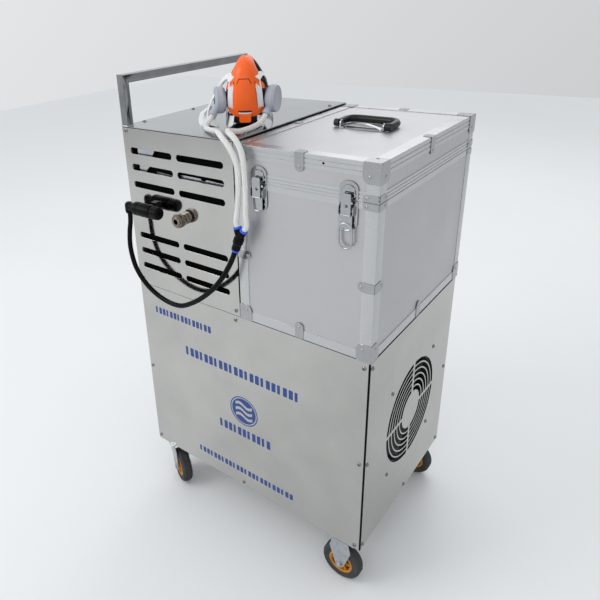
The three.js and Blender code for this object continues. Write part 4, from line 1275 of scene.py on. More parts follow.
    def prints(self) -> None:
        """Print the plain marks on the front: rows of dashes and a roundel of air waves."""
        marks = []
        for height, start, end, pitch, tall in self.print_rows:
            for i in range(int((end - start) / pitch)):
                x = start + i * pitch
                wide = pitch * (0.72 if i % 3 else 0.5)
                marks.append((box_outline(x, x + wide, height - tall / 2, height + tall / 2, 2), ()))
        (x, z), radius = self.roundel, self.roundel_radius
        waves = []
        for row in (-17, 0, 17):
            wave = []
            for edge, order in ((4.2, 1), (-4.2, -1)):
                for t in [i / 16 for i in range(17)][::order]:
                    wave.append((x - 26 + 52 * t, z + row + edge + 5 * math.sin(2 * math.pi * t)))
            waves.append(wave)
        marks.append((circle(x, z, radius - 6, 48), waves))
        marks.append((circle(x, z, radius, 48), [circle(x, z, radius - 3, 48)]))
        ink = Solid()
        for outline, holes in marks:
            ink.plate(outline, self.ink, (0, 0.02, 0), X, Z, holes, edge=0.02)
        self.shop.fit("front_panel_print", ink, INK)

    def build(self) -> None:
        """Dress the cabinet and the tower."""
        self.shop.finish_nodes(STAINLESS, "front_panel", "left_panel", "rear_panel", "deck_panel", "base_pan")
        posts = [f"post_{a}_{b}" for a in ("front", "rear") for b in ("left", "right")]
        self.shop.finish_nodes(ZINC, *posts)
        self.shop.finish_nodes(STAINLESS_TOP, "tower_top_plate")
        self.grille()
        self.louvres()
        self.handle()
        self.seams()
        self.screws()
        self.prints()
        self.shop.finish_nodes(FAN_NYLON, "fan_housing", "fan_rotor")
        self.shop.finish_nodes(CAST_ALLOY, "compressor", "air_filter")
        self.shop.finish_nodes(TANK, "air_receiver")


# ---------------------------------------------------------------- air outlets
@dataclass
class Outlets:
    """The quick coupler and the flow valve on the tower's front, and the power inlet at the back.

    Attributes:
        shop: Where the pieces are fitted.
        coupler: The quick coupler's X and Z.
        valve_y: How far the valve's axis stands before the front.
        valve_z: The height of the valve's axis.
    """

    shop: Workshop
    coupler: Pair = (183.0, 738.0)
    valve_y: float = -32.0
    valve_z: float = 748.0

    def couplings(self) -> None:
        """Turn the quick coupler, its hexagon and its knurled sleeve."""
        x, z = self.coupler
        body = Solid()
        body.turned([(0, -2), (10, -2), (10, 16), (0, 16)], (x, 0, z), Y, 32)
        body.turned([(0, 0.3), (13, 0.3), (15, 1.4), (15, 8), (13, 9), (0, 9)], (x, 0, z), -Y, 6)
        neck = [(6.5, 12), (6.5, 32), (10.5, 32), (12, 30.5), (12, 8), (6.5, 8)]
        body.turned(neck, (x, 0, z), -Y, 40, loop=True)
        body.turned([(0, 11.5), (6.8, 11.5), (6.8, 12.4), (0, 12.4)], (x, 0, z), -Y, 24)
        self.shop.fit("coupler_body", body, NICKEL, stands_for=("outlet_coupler",))
        sleeve = Solid()
        stations = [(14.2, 12.4), (14.2, 15.8), (15.4, 16.9), (26, 16.9), (28.9, 15.6), (28.9, 12.4)]
        sleeve.fluted(stations, (x, 0, z), (-Y, X, Z), (72, 2, (1,), 0.5, 16), loop=True)
        self.shop.fit("coupler_knurled_sleeve", sleeve, NICKEL, stands_for=("coupler_sleeve",))

    def valve(self) -> None:
        """Turn the flow valve's barrel, elbow and ribbed knob."""
        y, z = self.valve_y, self.valve_z
        body = Solid()
        barrel = [
            (0, 17), (10.5, 17), (11, 20), (11, 22), (15.5, 23), (16.5, 25), (16.5, 36), (15.4, 37),
            (15.4, 43), (16.5, 44), (16.5, 76), (15, 79.7), (0, 79.7),
        ]
        body.turned(barrel, (28, y, z), X, 48)
        elbow = [(0, 0), (8.5, 0), (10.4, 1.5), (10.4, 16), (9.5, 21), (6, 24.5), (0, 25)]
        body.turned(elbow, (28, y, z - 13), Z, 40)
        body.turned([(0, 0), (10.6, 0), (10.6, 20), (0, 20)], (28, y, z), X, 32)
        body.turned([(0, 0), (10, 0), (10, 46), (0, 46)], (87, y, z), Y, 28)
        body.turned([(0, 24), (15, 24), (15, 31.6), (0, 31.6)], (87, y, z), Y, 6)
        self.shop.fit("flow_valve_body", body, BLACK_ABS, stands_for=("flow_valve",))
        collar = Solid()
        ring = [(6.4, 0.1), (9, 0.1), (9.4, -1.6), (8.4, -2.4), (6.4, -2.4)]
        collar.turned(ring, (28, y, z - 13), Z, 36, loop=True)
        self.shop.fit("flow_valve_collar", collar, BLACK_ABS)
        knob = Solid()
        stations = [(0.3, 11), (2, 11), (2.2, 15.6), (4, 16), (22, 15.2), (25, 13.5), (26.9, 10)]
        knob.fluted(stations, (108, y, z), (X, Y, Z), (80, 5, (0, 1), 0.9, 12))
        self.shop.fit("flow_valve_ribbed_knob", knob, BLACK_ABS, stands_for=("flow_valve_knob",))

    def inlet(self) -> None:
        """Finish the power inlet: its contact blades, its screws and the rocker."""
        self.shop.finish_nodes(BLACK_ABS, "power_inlet")
        self.shop.finish_nodes(ROCKER, "power_rocker")
        blades = Solid()
        for dx, dz in ((-7, -3), (7, -3), (0, 4)):
            blades.box((90 + dx - 1, 475.4, 74 + dz - 2.5), (90 + dx + 1, 481, 74 + dz + 2.5), 0.3)
        for dz in (-29.5, 30):
            blades.dome((90, 482, 90 + dz), Y, 2.6, 1.2)
        self.shop.fit("power_inlet_contacts", blades, NICKEL)

    def build(self) -> None:
        """Build the outlets and the inlet."""
        self.couplings()
        self.valve()
        self.inlet()


# ---------------------------------------------------------------- equipment case
@dataclass
class EquipmentCase:
    """The aluminium case with its lid, trims, corner pieces, latches and handle.

    Attributes:
        shop: Where the pieces are fitted.
        left: The X of its left wall.
        right: The X of its right wall.
        depth: Its depth.
        floor: The height of its floor.
        split: The height of its parting line.
        top: The height of its lid.
        trim: How wide the angles are.
        proud: How far they stand out from the panels.
        skin: How far the fittings' inner faces do.
        plate: The thickness of the fittings.
        grooves: How far an upright angle's grooves lie from the corner.
        side_y: The Y of the clips on the side walls.
        ear_z: The height of the ears on the walls.
        latches: Each latch's side and X.
        latch_width: How wide a latch is.
        pivot: The Y and Z of the latch levers' pins.
        claw_pivot: The Y and Z of the claws' pins.
        clip_x: The X of the clips on the front.
        handle_x: The handle's X.
        handle_y: The handle's Y.
    """

    shop: Workshop
    left: float = 339.0
    right: float = 660.0
    depth: float = 474.0
    floor: float = 525.3
    split: float = 857.0
    top: float = 929.0
    trim: float = 25.0
    proud: float = 1.4
    skin: float = 1.45
    plate: float = 1.2
    grooves: Pair = (8.0, 17.0)
    side_y: float = 228.0
    ear_z: float = 688.0
    latches: tuple[tuple[str, float], ...] = (("left", 400.5), ("right", 601.5))
    latch_width: float = 39.0
    pivot: Pair = (-7.5, 838.0)
    claw_pivot: Pair = (-12.1, 829.0)
    clip_x: float = 496.0
    handle_x: float = 504.0
    handle_y: float = 235.0

    def _inward(self, x: float, y: float) -> tuple[int, int]:
        """Return the signs of the ways from a corner of the case to its middle."""
        return (1 if x < (self.left + self.right) / 2 else -1), (1 if y < self.depth / 2 else -1)

    def _ring(self, name: str, sections: list[list[Pair]], body: str) -> None:
        """Run trims around the case, mitred at its corners.

        Args:
            name: The piece's name.
            sections: How far each point of a trim stands out from the wall, and its height.
            body: The body that they ride on.
        """
        solid = Solid()
        for section in sections:
            solid.ring_around((self.left, 0.0), (self.right, self.depth), section)
        self.shop.fit(name, solid, TRIM, body)

    def _groove(self, height: float, rise: int) -> list[Pair]:
        """Return the points of a groove in a trim's face, passed upwards or downwards."""
        steps = ((0.0, -1.1), (-1.1, -0.7), (-1.1, 0.7), (0.0, 1.1))
        return [(self.proud + out, height + rise * up) for out, up in steps]

    def _upright(self, solid: Solid, x: float, y: float, low: float, high: float) -> None:
        """Stand a grooved angle on an upright edge of the case.

        Args:
            solid: The solid that gets it.
            x: The edge's X.
            y: Its Y.
            low: The height where the angle starts.
            high: The height where it ends.
        """
        sx, sy = self._inward(x, y)
        t, reach = self.proud, self.trim
        angle = rounded([
            (-t, -t, 2.0), (reach, -t, 0.5), (reach, 0.3, 0), (0.3, 0.3, 0), (0.3, reach, 0), (-t, reach, 0.5),
        ], 4)
        solid.grid([[Vector((x + sx * a, y + sy * b, z)) for a, b in angle] for z in (low, high)])
        for groove in self.grooves:
            across, face = x + sx * groove, y - sy * self.skin
            solid.box((across - 0.5, min(face, face + sy), low), (across + 0.5, max(face, face + sy), high))
            across, face = y + sy * groove, x - sx * self.skin
            solid.box((min(face, face + sx), across - 0.5, low), (max(face, face + sx), across + 0.5, high))

    def trims(self) -> None:
        """Fit the drawn angles: the lid's frame, the bands at the parting line, the foot and the edges."""
        t, top, split, floor = self.proud, self.top, self.split, self.floor
        cap = [(-self.trim, top - 0.3), (-self.trim, top + t), (t - 1.2, top + t), (t, top + t - 1.2)]
        cap += [*self._groove(top - 7, -1), *self._groove(top - 16, -1)]
        cap += [(t, top - self.trim), (-0.3, top - self.trim), (-0.3, top - 0.3)]
        lid_band = [(-0.3, split + 0.3), (t, split + 0.3)]
        lid_band += [*self._groove(split + 6, 1), *self._groove(split + 13, 1)]
        lid_band += [(t, split + 19), (-0.3, split + 19)]
        self._ring("case_lid_frame", [cap, lid_band], "case_lid")
        body_band = box_outline(-0.3, t, split - 14, split - 1.7)
        foot = box_outline(-0.3, t, floor + 0.2, floor + 22)
        self._ring("case_body_frame", [body_band, foot], "cart")
        for name, body, low, high in (
            ("case_body_corners", "cart", floor + 22, split - 14),
            ("case_lid_corners", "case_lid", split + 19, top - self.trim),
        ):
            solid = Solid()
            for x in (self.left, self.right):
                for y in (0.0, self.depth):
                    self._upright(solid, x, y, low, high)
            self.shop.fit(name, solid, TRIM, body)

    def _corner(self, solid: Solid, x: float, y: float, z: float, up: int, wide: float) -> None:
        """Add a three-faced corner piece with rivets.

        Args:
            solid: The solid that gets it.
            x: The corner's X.
            y: Its Y.
            z: Its Z.
            up: 1 at the floor, -1 at the lid.
            wide: How wide each face is.
        """
        sx, sy = self._inward(x, y)
        out, thick, low, tall = self.skin, 1.1, -self.skin - 0.9, 40.0
        lobe = rounded([(low, low, 0.6), (wide, low, 5), (wide, tall - 2, 15), (low, tall - 2, 3)], 6)
        flat = rounded([(low, low, 0.6), (wide, low, 5), (wide, wide, 15), (low, wide, 5)], 6)
        for origin, across, rise, outline in (
            (Vector((x, y - sy * out, z)), X * sx, Z * up, lobe),
            (Vector((x - sx * out, y, z)), Y * sy, Z * up, lobe),
            (Vector((x, y, z - up * out)), X * sx, Y * sy, flat),
        ):
            away = across.cross(rise)
            face = (origin - Vector((x, y, z))).normalized()
            start = origin if away.dot(face) > 0 else origin - away * thick
            solid.plate(outline, thick, start, across, rise, edge=0.4)
            if outline is lobe or up < 0:
                spot = origin + across * (wide * 0.55) + rise * (tall * 0.62) + face * thick
                solid.dome(spot, face, 3.4, 1.6)
        out_ways = Vector((-sx, -sy, -up))
        solid.dome(Vector((x, y, z)) + out_ways * 0.3, out_ways, 3.2, 3.0, 16)

    def _parting_plates(self, lid: Solid, body: Solid, x: float, y: float) -> None:
        """Add the small riveted plates above and below the parting line at a corner.

        Args:
            lid: The lid's fittings.
            body: The body's fittings.
            x: The corner's X.
            y: Its Y.
        """
        sx, sy = self._inward(x, y)
        thick = 0.9
        tab = rounded([(0, 0, 0.5), (30, 0, 1), (30, 13, 5), (0, 15, 2)], 4)
        # The rear ones stand further apart, clear of each other when the lid swings back.
        above, below = (0.8, 0.8) if sy > 0 else (2.4, 2.7)
        for solid, start, rise in ((lid, self.split + above, 1), (body, self.split - below, -1)):
            for origin, across, face in (
                (Vector((x, y - sy * self.skin, start)), X * sx, Y * -sy),
                (Vector((x - sx * self.skin, y, start)), Y * sy, X * -sx),
            ):
                up = Z * rise
                begin = origin if across.cross(up).dot(face) > 0 else origin + face * thick
                solid.plate(tab, thick, begin, across, up, edge=0.3)
                solid.dome(origin + across * 22 + up * 7 + face * thick, face, 3, 1.5)

    def corners(self) -> None:
        """Fit the plated corner pieces, parting plates, edge clips and wall ears."""
        lid, body = Solid(), Solid()
        for x in (self.left, self.right):
            for y in (0.0, self.depth):
                self._corner(lid, x, y, self.top, -1, 33)
                self._corner(body, x, y, self.floor, 1, 31)
                self._parting_plates(lid, body, x, y)
        clip = rounded([(-10.5, 0, 1), (10.5, 0, 1), (10.5, 37, 10), (-10.5, 37, 10)], 8)
        ear = rounded([(-1.5, -10, 1), (22, -11, 6), (33, -5, 5), (33, 5, 5), (22, 11, 6), (-1.5, 10, 1)], 5)
        side, rim, down = self.right + self.skin, self.top + self.proud + 1, 27 + self.proud
        for solid, outline, origin, across, rise, face, rivet in (
            (lid, clip, (self.clip_x, -self.skin, rim), X, -Z, -Y, (0, down)),
            (lid, clip, (side, self.side_y, rim), -Y, -Z, X, (0, down)),
            (body, clip, (self.clip_x, -self.skin, self.floor), X, Z, -Y, (0, 27)),
            (body, clip, (side, self.side_y, self.floor), Y, Z, X, (0, 27)),
            (body, ear, (self.right, -self.skin, self.ear_z), -X, Z, -Y, (26, 0)),
            (body, ear, (self.left, -self.skin, self.ear_z), X, Z, -Y, (26, 0)),
            (body, ear, (side, 0, self.ear_z), Y, Z, X, (26, 0)),
        ):
            start = Vector(origin) if across.cross(rise).dot(face) > 0 else Vector(origin) + face * self.plate
            solid.plate(outline, self.plate, start, across, rise, edge=0.4)
            spot = Vector(origin) + across * rivet[0] + rise * rivet[1] + face * self.plate
            solid.dome(spot, face, 3.2, 1.5)
        tab = rounded([(-10.5, -1, 1), (10.5, -1, 1), (10.5, 20, 6), (-10.5, 20, 6)])
        over, out = self.top + self.skin, self.proud + 0.9
        for spot, across, inward in (
            ((self.clip_x, -out, over), X, Y), ((self.clip_x, self.depth + out, over), -X, -Y),
            ((self.right + out, self.side_y, over), Y, -X), ((self.left - out, self.side_y, over), -Y, X),
        ):
            lid.plate(tab, self.plate, spot, across, inward, edge=0.4)
        self.shop.fit("case_lid_fittings", lid, PLATED, "case_lid")
        self.shop.fit("case_body_fittings", body, PLATED, "cart")
        rivets = Solid()
        rivets.dome((548, -self.proud, self.top - 12), -Y, 2.4, 1.0)
        self.shop.fit("case_lid_dark_rivet", rivets, FOAM_AND_PAINTED_SHADE, "case_lid")

    def latch(self, side: str, x: float) -> None:
        """Build a draw latch: keeper, base, claw and lever.

        Args:
            side: Which of the two it is.
            x: Its middle's X.
        """
        half, y = self.latch_width / 2, -self.skin
        keeper = Solid()
        arch = rounded([(-half, 859, 1), (half, 859, 1), (half, 892, 17), (-half, 892, 17)], 8)
        keeper.plate(arch, self.plate, (x, y, 0), edge=0.4)
        ridge = rounded([(-half + 6, 862, 2), (half - 6, 862, 2), (half - 6, 885, 12), (6 - half, 885, 12)], 8)
        keeper.plate(ridge, 2.6, (x, y - 1.1, 0), edge=1.1)
        keeper.box((x - 9, -7.4, 860), (x + 9, y, 863.4), 0.7)
        for dx in (-half + 5, half - 5):
            keeper.dome((x + dx, y - self.plate, 866), -Y, 2.6, 1.5)
        self.shop.fit(f"latch_{side}_keeper_plate", keeper, CHROME, stands_for=(f"latch_{side}_keeper",))
        base = Solid()
        seat = rounded([(-half, 799, 15), (half, 799, 15), (half, 855, 1.5), (-half, 855, 1.5)], 8)
        base.plate(seat, self.plate, (x, y, 0), edge=0.4)
        cheek = rounded([(1.6, 822, 1), (9.6, 831, 3), (9.6, 843, 3), (1.6, 852, 1)], 4)
        for dx in (-15.6, 13.8):
            base.plate(cheek, 1.8, (x + dx, 0, 0), -Y, Z, edge=0.4)
        for dx in (-half + 5.5, half - 5.5):
            for z in (849, 814):
                base.dome((x + dx, y - self.plate, z), -Y, 2.6, 1.4)
        self.shop.fit(f"latch_{side}_base_plate", base, CHROME, stands_for=(f"latch_{side}_base",))
        py, pz = self.pivot
        lever = Solid()
        roll = [(0, -12.6), (2.2, -12.6), (2.7, -12), (2.7, 12), (2.2, 12.6), (0, 12.6)]
        lever.turned(roll, (x, py, pz), X, 24)
        tongue = rounded([(-11.5, 798, 9), (11.5, 798, 9), (11.5, pz, 1), (-11.5, pz, 1)], 8)
        lever.plate(tongue, 2.2, (x, py + 1.2, 0), edge=0.7)
        lip = [(-8, 800.6), (-4, 799.4), (0, 799), (4, 799.4), (8, 800.6)]
        lever.swept([Vector((x + a, py - 1.2, z)) for a, z in lip], circle(0, 0, 1.5, 10), lean=Y)
        self.shop.fit(f"latch_{side}_tongue", lever, CHROME, stands_for=(f"latch_{side}_lever",))
        if side == "right":
            self._bail(x)
        cy, cz = self.claw_pivot
        claw = Solid()
        claw.turned([(0, -10), (1.8, -10), (1.8, 10), (0, 10)], (x, cy, cz), X, 16)
        strap = rounded([(-10, cz, 1.5), (10, cz, 1.5), (10, 871, 3), (-10, 871, 3)], 4)
        claw.plate(strap, 1.4, (x, cy + 0.7, 0), X, Z, [circle(1, 847, 3.0, 20)], edge=0.4)
        claw.box((x - 9, cy - 0.6, 866), (x + 9, cy + 3.4, 869.5), 0.6)
        self.shop.fit(f"latch_{side}_hook", claw, CHROME, stands_for=(f"latch_{side}_claw",))

    def _bail(self, x: float) -> None:
        """Hang the wire ring on the right latch's tongue, around the latch's middle x."""
        half, top, bottom, y = 13.5, 812.0, 762.0, -8.6
        line = [Vector((x - 1.5 + a, y, b)) for a, b in box_outline(-half, half, bottom, top, half - 0.1)]
        wire = Solid()
        wire.swept(line, circle(0, 0, 2.3, 16), lean=Y, loop=True)
        self.shop.fit("latch_right_wire_ring", wire, ZINC, self.shop.body_of["latch_right_lever"])

    def handle(self) -> None:
        """Build the lid's handle: a chrome bracket with a bowed leaf, and a black folded grip."""
        x, y, top = self.handle_x, self.handle_y, self.top
        base = Solid()
        foot = rounded([(-52, -14, 5), (52, -14, 5), (52, 8, 4), (-52, 8, 4)], 5)
        base.plate(foot, 1.6, (x, y, top + 0.3), X, Y, edge=0.5)
        rings = []
        for i in range(25):
            across = -44 + 88 * i / 24
            bow = 9 * (1 - (across / 44) ** 2)
            strip = box_outline(-7, 3, 1.8, 3.2)
            rings.append([Vector((x + across, y + dy, top + bow + dz)) for dy, dz in strip])
        base.grid(rings)
        lug = rounded([(-7, 1, 0), (7, 1, 0), (7, 16, 6.5), (-7, 16, 6.5)], 6)
        for dx in (-52, 48):
            base.plate(lug, 4, (x + dx, y, top), Y, Z, edge=0.6)
        for dx in (-44.18, 44.18):
            base.dome((x + dx, y - 9, top + 1.9), Z, 3, 1.6)
        self.shop.fit("lid_handle_chrome_bracket", base, CHROME, stands_for=("lid_handle_bracket",))
        radius, reach, half = 8.4, 66.0, 67.0
        z = top + 0.3 + radius + 0.5
        side = half - radius + 1.5
        far = reach - radius
        path = rounded([(-side, 0, 0), (-side, far, 24), (side, far, 24), (side, 0, 0)], 8)
        line = [Vector((x + a, y + b, z)) for a, b in path]
        last = len(line) - 1
        rings = []
        for i, point in enumerate(line):
            along = (line[min(i + 1, last)] - line[max(i - 1, 0)]).normalized()
            across = along.cross(Z)
            # The bar thins towards its two ends, where it meets the eyes on the bracket.
            swell = radius * (1.0 if 4 < i < last - 4 else 0.95 if 0 < i < last else 0.77)
            rings.append([
                point + across * swell * 0.95 * math.cos(t) + Z * swell * math.sin(t) for t in turns(20)
            ])
        grip = Solid()
        grip.grid(rings)
        eye = [(0, -6), (7.4, -6), (8.2, -5), (8.2, 5), (7.4, 6), (0, 6)]
        for sign in (-1, 1):
            grip.turned(eye, (x + sign * (side + 0.3), y, z), X, 32)
        self.shop.fit("lid_handle_black_grip", grip, GRIP, stands_for=("lid_handle_grip",))

    def hinges(self) -> None:
        """Fit two hinge leaves on the lid and two on the body, behind the case."""
        lid, body = Solid(), Solid()
        face = self.depth + self.skin + self.plate
        half, low, high = 24, self.split - 3, self.split + 3
        for x in (410.0, 590.0):
            upper = box_outline(x - half, x + half, high, high + 34, 3)
            lower = box_outline(x - half, x + half, low - 34, low, 3)
            for solid, leaf, height in ((lid, upper, self.split + 24), (body, lower, self.split - 24)):
                solid.plate(leaf, self.plate, (0, face, 0), edge=0.3)
                for dx in (-15, 15):
                    solid.dome((x + dx, face, height), Y, 2.8, 1.3)
            knuckle = [(0, -half), (3.2, -half), (3.2, half), (0, half)]
            lid.turned(knuckle, (x, self.depth, self.split), X, 20)
        self.shop.fit("case_hinge_upper_leaves", lid, CHROME, "case_lid")
        self.shop.fit("case_hinge_lower_leaves", body, CHROME, "cart")

    def build(self) -> None:
        """Build the case."""
        self.shop.finish_nodes(CASE_PANEL, "case_body", "case_lid")
        self.trims()
        self.corners()
        for side, x in self.latches:
            self.latch(side, x)
        self.handle()
        self.hinges()


# ---------------------------------------------------------------- half mask
@dataclass
class HalfMask:
    """The half mask on the tower, in its own frame: X to its left, Y towards the wearer, Z up from the plate.

    Attributes:
        shop: Where the pieces are fitted.
        spot: Where it stands on the tower.
        turn: How far it is turned, in degrees.
        cap_span: How far a cap's middle stands from the mask's.
        cap_height: The height of the caps' middles.
        cap_radius: The caps' radius.
        cap_depth: Their thickness.
        cap_tilt: How far they turn forward, in degrees.
        shell: Its middle's Y and Z, half its width, its depth and half its height.
        shell_taper: How much narrower the shell is at its top.
        cover_taper: How much narrower the cover and the seal are there.
    """

    shop: Workshop
    spot: Point = (259, 150, 935.5)
    turn: float = 31.5
    cap_span: float = 60.0
    cap_height: float = 54.5
    cap_radius: float = 30.0
    cap_depth: float = 22.0
    cap_tilt: float = 16.5
    shell: tuple[float, ...] = (22.0, 74.0, 46.0, 56.0, 71.0)
    shell_taper: float = 0.5
    cover_taper: float = 0.42
    place: Matrix = field(init=False)

    def __post_init__(self) -> None:
        """Stand the mask on the tower."""
        self.place = Matrix.Translation(self.spot) @ Matrix.Rotation(math.radians(self.turn), 4, "Z")

    def _front(self, x: float, z: float, grow: float) -> Vector:
        """Find a point of the cover's full-crowned front.

        Args:
            x: How far it lies from the middle.
            z: Its height.
            grow: How far it stands off the shell.

        Returns:
            The point.
        """
        middle, centre, half, depth, tall = self.shell
        rise = max(-0.995, min(0.995, (z - centre) / (tall + grow)))
        narrow = 1 - self.cover_taper * max(rise, 0.0)
        across = x / ((half + grow) * narrow)
        room = max(0.0, 1 - abs(rise) ** 3.4 - across * across)
        return Vector((x, middle - math.sqrt(room) * (depth + grow), z))

    def _skin(self, solid: Solid, rows: list[Point], low: float, high: float, columns: int = 28) -> None:
        """Add a curved plate that follows the shell.

        Args:
            solid: The solid that gets it.
            rows: Height, left edge and right edge at the outline's main points, from the bottom up.
            low: How far its inside stands off the shell.
            high: How far its outside does.
            columns: How many points lie across it.
        """
        rings = []
        for z, a, b in smooth_line(rows, 6):
            xs = [a + (b - a) * i / columns for i in range(columns + 1)]
            outer = [self._front(x, z, high) for x in xs]
            inner = [self._front(x, z, low) for x in reversed(xs)]
            rings.append(outer + inner)
        solid.grid(rings)

    def body(self) -> None:
        """Build the black shell and its soft face seal."""
        middle, centre, half, depth, tall = self.shell
        shell = Solid(self.place)
        rings = []
        for i in range(33):
            rise = math.sin(math.radians(-86 + 172 * i / 32))
            width = math.sqrt(1 - rise * rise)
            narrow = 1 - self.shell_taper * max(rise, 0.0)
            ring = []
            for grow, order in ((0.0, 1), (-3.0, -1)):
                for k in range(33)[::order]:
                    turn = math.pi * (k / 32 - 0.5)
                    x = math.sin(turn) * width * (half + grow) * narrow
                    y = middle - math.cos(turn) * width * (depth + grow)
                    ring.append(Vector((x, y, centre + rise * (tall + grow))))
            rings.append(ring)
        shell.grid(rings)
        chin = [(0.3, 0.6), (16, 1.5), (28, 6), (33, 14), (34, 24), (28, 34), (14, 40), (0.3, 42)]
        boss = [(0, 0), (17, 0), (18, 2), (18, 5), (14, 9), (0, 12)]
        for side in (-1, 1):
            shell.turned(chin, (side * 11, 6, 0), Z, 40)
            axis = self._cap_axis(side)
            spot = Vector((side * self.cap_span, 0, self.cap_height)) - axis * (self.cap_depth / 2 + 0.3)
            shell.turned(boss, spot, -axis, 40)
        self.shop.fit("mask_black_shell", shell, SILICONE, stands_for=("mask_shell",))
        seal = Solid(self.place)
        line = []
        for turn in turns(64):
            rise = math.sin(turn)
            x = math.cos(turn) * (half - 3) * (1 - self.cover_taper * max(rise, 0.0))
            line.append(Vector((x, middle + 8 + 2 * math.cos(2 * turn), centre + rise * (tall - 4))))
        section = rounded([(-6, -7.5, 4), (6, -7.5, 4), (6, 7.5, 4), (-6, 7.5, 4)], 4)
        seal.swept(line, section, lean=Y, loop=True)
        self.shop.fit("mask_soft_seal", seal, SILICONE, stands_for=("mask_face_seal",))

    def cover(self) -> None:
        """Build the orange cover, the outlet in it as painted shade over a painted highlight, and the groove
        below its crown as a line of painted shade.
        """
        cover = Solid(self.place)
        crown = [
            (86, -34, 34), (100, -33.5, 33.5), (112, -29.5, 29.5), (124, -24, 24), (134, -19, 19),
            (141, -14.5, 14.5), (145.3, -10.5, 10.5), (147.8, -5, 5),
        ]
        self._skin(cover, crown, 0.4, 4.4)
        panel = [
            (21, -21, 21), (24.5, -24.5, 24.5), (31, -26.8, 26.8), (42, -27, 27), (60, -26, 26), (80, -24, 24),
            (98, -21.5, 21.5), (110, -17, 17), (119, -11, 11),
        ]
        self._skin(cover, panel, 3.0, 7.2)
        tab = rounded([(-13, 0, 4), (13, 0, 4), (13, 20, 1), (-13, 20, 1)])
        hang = self._front(0, 30, 5.4) + Vector((0, 1.2, -21))
        cover.plate(tab, 3, hang, X, Vector((0, -0.06, 1)).normalized(), edge=0.8)
        wing = [(22, 14, 24), (26, 18, 31), (31, 23, 36), (36, 29, 39.5), (41, 35, 41)]
        shoulder = [(80, 38, 42.5), (85, 34, 42), (90, 29.5, 40), (95, 25, 36), (100, 21, 30), (103, 19, 24)]
        for outline, low, high in ((wing, 5.6, 7.8), (shoulder, 4.6, 7.4)):
            self._skin(cover, outline, low, high, 10)
            self._skin(cover, [(z, -b, -a) for z, a, b in outline], low, high, 10)
        self.shop.fit("mask_orange_cover", cover, ORANGE, stands_for=("mask_front_cover",))
        slot, lip, groove = Solid(self.place), Solid(self.place), Solid(self.place)
        # Painted shade inside the outlet, as a deep red skin.
        self._skin(slot, [(31, -14, 14), (33.5, -15.5, 15.5), (35.5, -15, 15)], 6.4, 7.5, 16)
        # A painted highlight on the lip below the outlet, in near white.
        rim = [(26.6, -4, 4), (27.5, -10, 10), (29.2, -13.8, 13.8), (31.6, -15.5, 15.5)]
        self._skin(lip, rim, 6.8, 8.6, 16)
        self.shop.fit("mask_outlet_painted_shade", slot, OUTLET_PAINTED_SHADE)
        self.shop.fit("mask_outlet_painted_highlight", lip, OUTLET_PAINTED_HIGHLIGHT)
        # The groove below the crown is painted shade: a thin black line laid on the cover.
        bend = [(-16, 93), (-10.5, 103.5), (10.5, 103.5), (16, 93)]
        points = [
            self._front(x0 + (x1 - x0) * i / 8, z0 + (z1 - z0) * i / 8, 7.1)
            for (x0, z0), (x1, z1) in zip(bend, bend[1:])
            for i in range(9)
        ]
        groove.swept(points, circle(0, 0, 0.7, 8), lean=-Y)
        self.shop.fit("mask_cover_groove_painted_shade", groove, FOAM_AND_PAINTED_SHADE)

    def _cap_axis(self, side: int) -> Vector:
        """Return the direction that a cap faces."""
        tilt = math.radians(self.cap_tilt)
        return Vector((side * math.cos(tilt), -math.sin(tilt), 0))

    def caps(self) -> None:
        """Turn the two round caps, with a rim, a recessed face and the spigot below."""
        into = Matrix.Rotation(-math.radians(self.turn), 3, "Z") @ Vector((0, -1, -1)).normalized()
        for side, name in ((-1, "left"), (1, "right")):
            centre, axis = Vector((side * self.cap_span, 0, self.cap_height)), self._cap_axis(side)
            depth, radius = self.cap_depth / 2, self.cap_radius
            cap = Solid(self.place)
            profile = [
                (0, -depth), (radius - 5, -depth), (radius - 1.5, -depth + 4), (radius, -depth + 7),
                (radius, depth - 5), (radius - 0.8, depth - 4.4), (radius - 0.8, depth - 3.6),
                (radius, depth - 3), (radius - 1.2, depth - 0.4), (radius - 3, depth),
                (radius - 5, depth - 0.8), (0, depth - 0.5),
            ]
            cap.turned(profile, centre, axis, 64)
            spigot = [(0, 18), (8.5, 18), (8.5, 33), (9.4, 34), (9.4, 40), (8.6, 42), (0, 42)]
            cap.turned(spigot, centre, into, 32)
            self.shop.fit(f"mask_round_cap_{name}", cap, CAP_GREY, stands_for=(f"mask_cap_{name}",))

    def _band(self, solid: Solid, points: list[Point], lean: Point, width: float = 11.0) -> None:
        """Add a flat elastic band.

        Args:
            solid: The solid that gets it.
            points: Points that its middle passes through.
            lean: The direction that its flat side faces at the start.
            width: Its width.
        """
        half, thin = width / 2, 0.7
        section = rounded([(-half, -thin, 0.5), (half, -thin, 0.5), (half, thin, 0.5), (-half, thin, 0.5)], 2)
        solid.swept(smooth_line(points, 8), section, lean=lean)

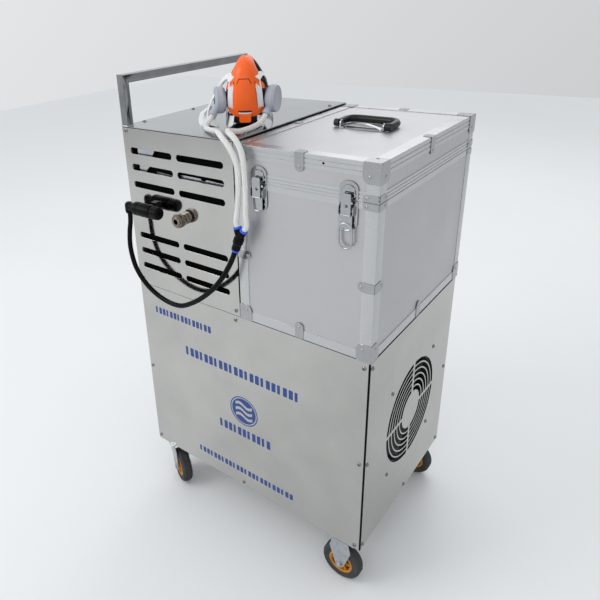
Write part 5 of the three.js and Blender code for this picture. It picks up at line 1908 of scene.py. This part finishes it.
    def straps(self) -> None:
        """Lay the white elastic bands: down both sides of the cover, and behind the mask on the plate."""
        bands = Solid(self.place)
        front = (
            (27.5, 101, 4.4), (29, 92, 5.2), (31, 80, 5.2), (32.5, 66, 5.2), (33.5, 52, 5.2), (33.5, 40, 5.0),
            (31.5, 27, 4.6),
        )
        down = ((32, -27, 14), (33, -31, 6), (36, -37, 1.4))
        behind = ((44, 36, 40), (52, 46, 20), (54, 62, 6), (46, 84, 3), (24, 106, 3), (0, 113, 3))
        for side in (-1, 1):
            face = [self._front(side * x, z, grow) for x, z, grow in front]
            self._band(bands, [*face, *((side * x, y, z) for x, y, z in down)], (side * 0.5, -1, 0), 14)
            self._band(bands, [(side * x, y, z) for x, y, z in behind], (side, 0, 0.3))
        right, left = self._front(29, 102, 7.6), self._front(-28, 100, 7.6)
        for line, lean, width in (
            ([right, (33.5, -10, 109), (38.5, 0, 109), (43, 12, 98), (45, 24, 82)], (0.4, -0.8, 0.5), 13),
            ([left, (-36, -10, 107), (-48, 2, 101), (-62, 14, 86), (-76, 16, 62), (-88, 10, 38), (-92, 0, 18),
              (-84, -10, 7), (-72, -14, 3)], (-0.5, -0.7, 0.5), 16),
            ([left, (-35, -4, 104), (-50, 12, 92), (-66, 24, 70), (-84, 24, 46), (-98, 14, 26), (-104, 0, 12),
              (-96, -14, 4)], (-0.5, -0.7, 0.5), 14),
            ([(-64, -24, 2), (-80, -18, 6), (-98, -4, 14), (-104, 10, 22), (-92, 22, 26), (-80, 18, 16),
              (-88, 4, 8), (-100, -6, 3)], (0.2, -0.5, 1), 13),
            ([(-96, -22, 2), (-90, -10, 10), (-80, 0, 24), (-84, 14, 34), (-98, 20, 30), (-108, 10, 18),
              (-104, -8, 6), (-92, -20, 3)], (0.2, -0.5, 1), 13),
        ):
            self._band(bands, line, lean, width)
        self.shop.fit("mask_elastic_bands", bands, WEBBING, stands_for=("mask_head_strap",))

    def build(self) -> None:
        """Build the mask."""
        self.body()
        self.cover()
        self.caps()
        self.straps()


def main() -> None:
    """Build the room and the respirator."""
    logging.basicConfig(level=logging.INFO, format="%(message)s")
    Studio().build()
    shop = Workshop(frame)
    for kind in (Hoses, Casters, Cabinet, Outlets, EquipmentCase, HalfMask):
        kind(shop).build()
        log.info("built the %s", kind.__name__)
    bare = shop.undressed()
    if bare:
        raise ValueError(f"no finish on {bare}")


if __name__ == "__main__":
    main()
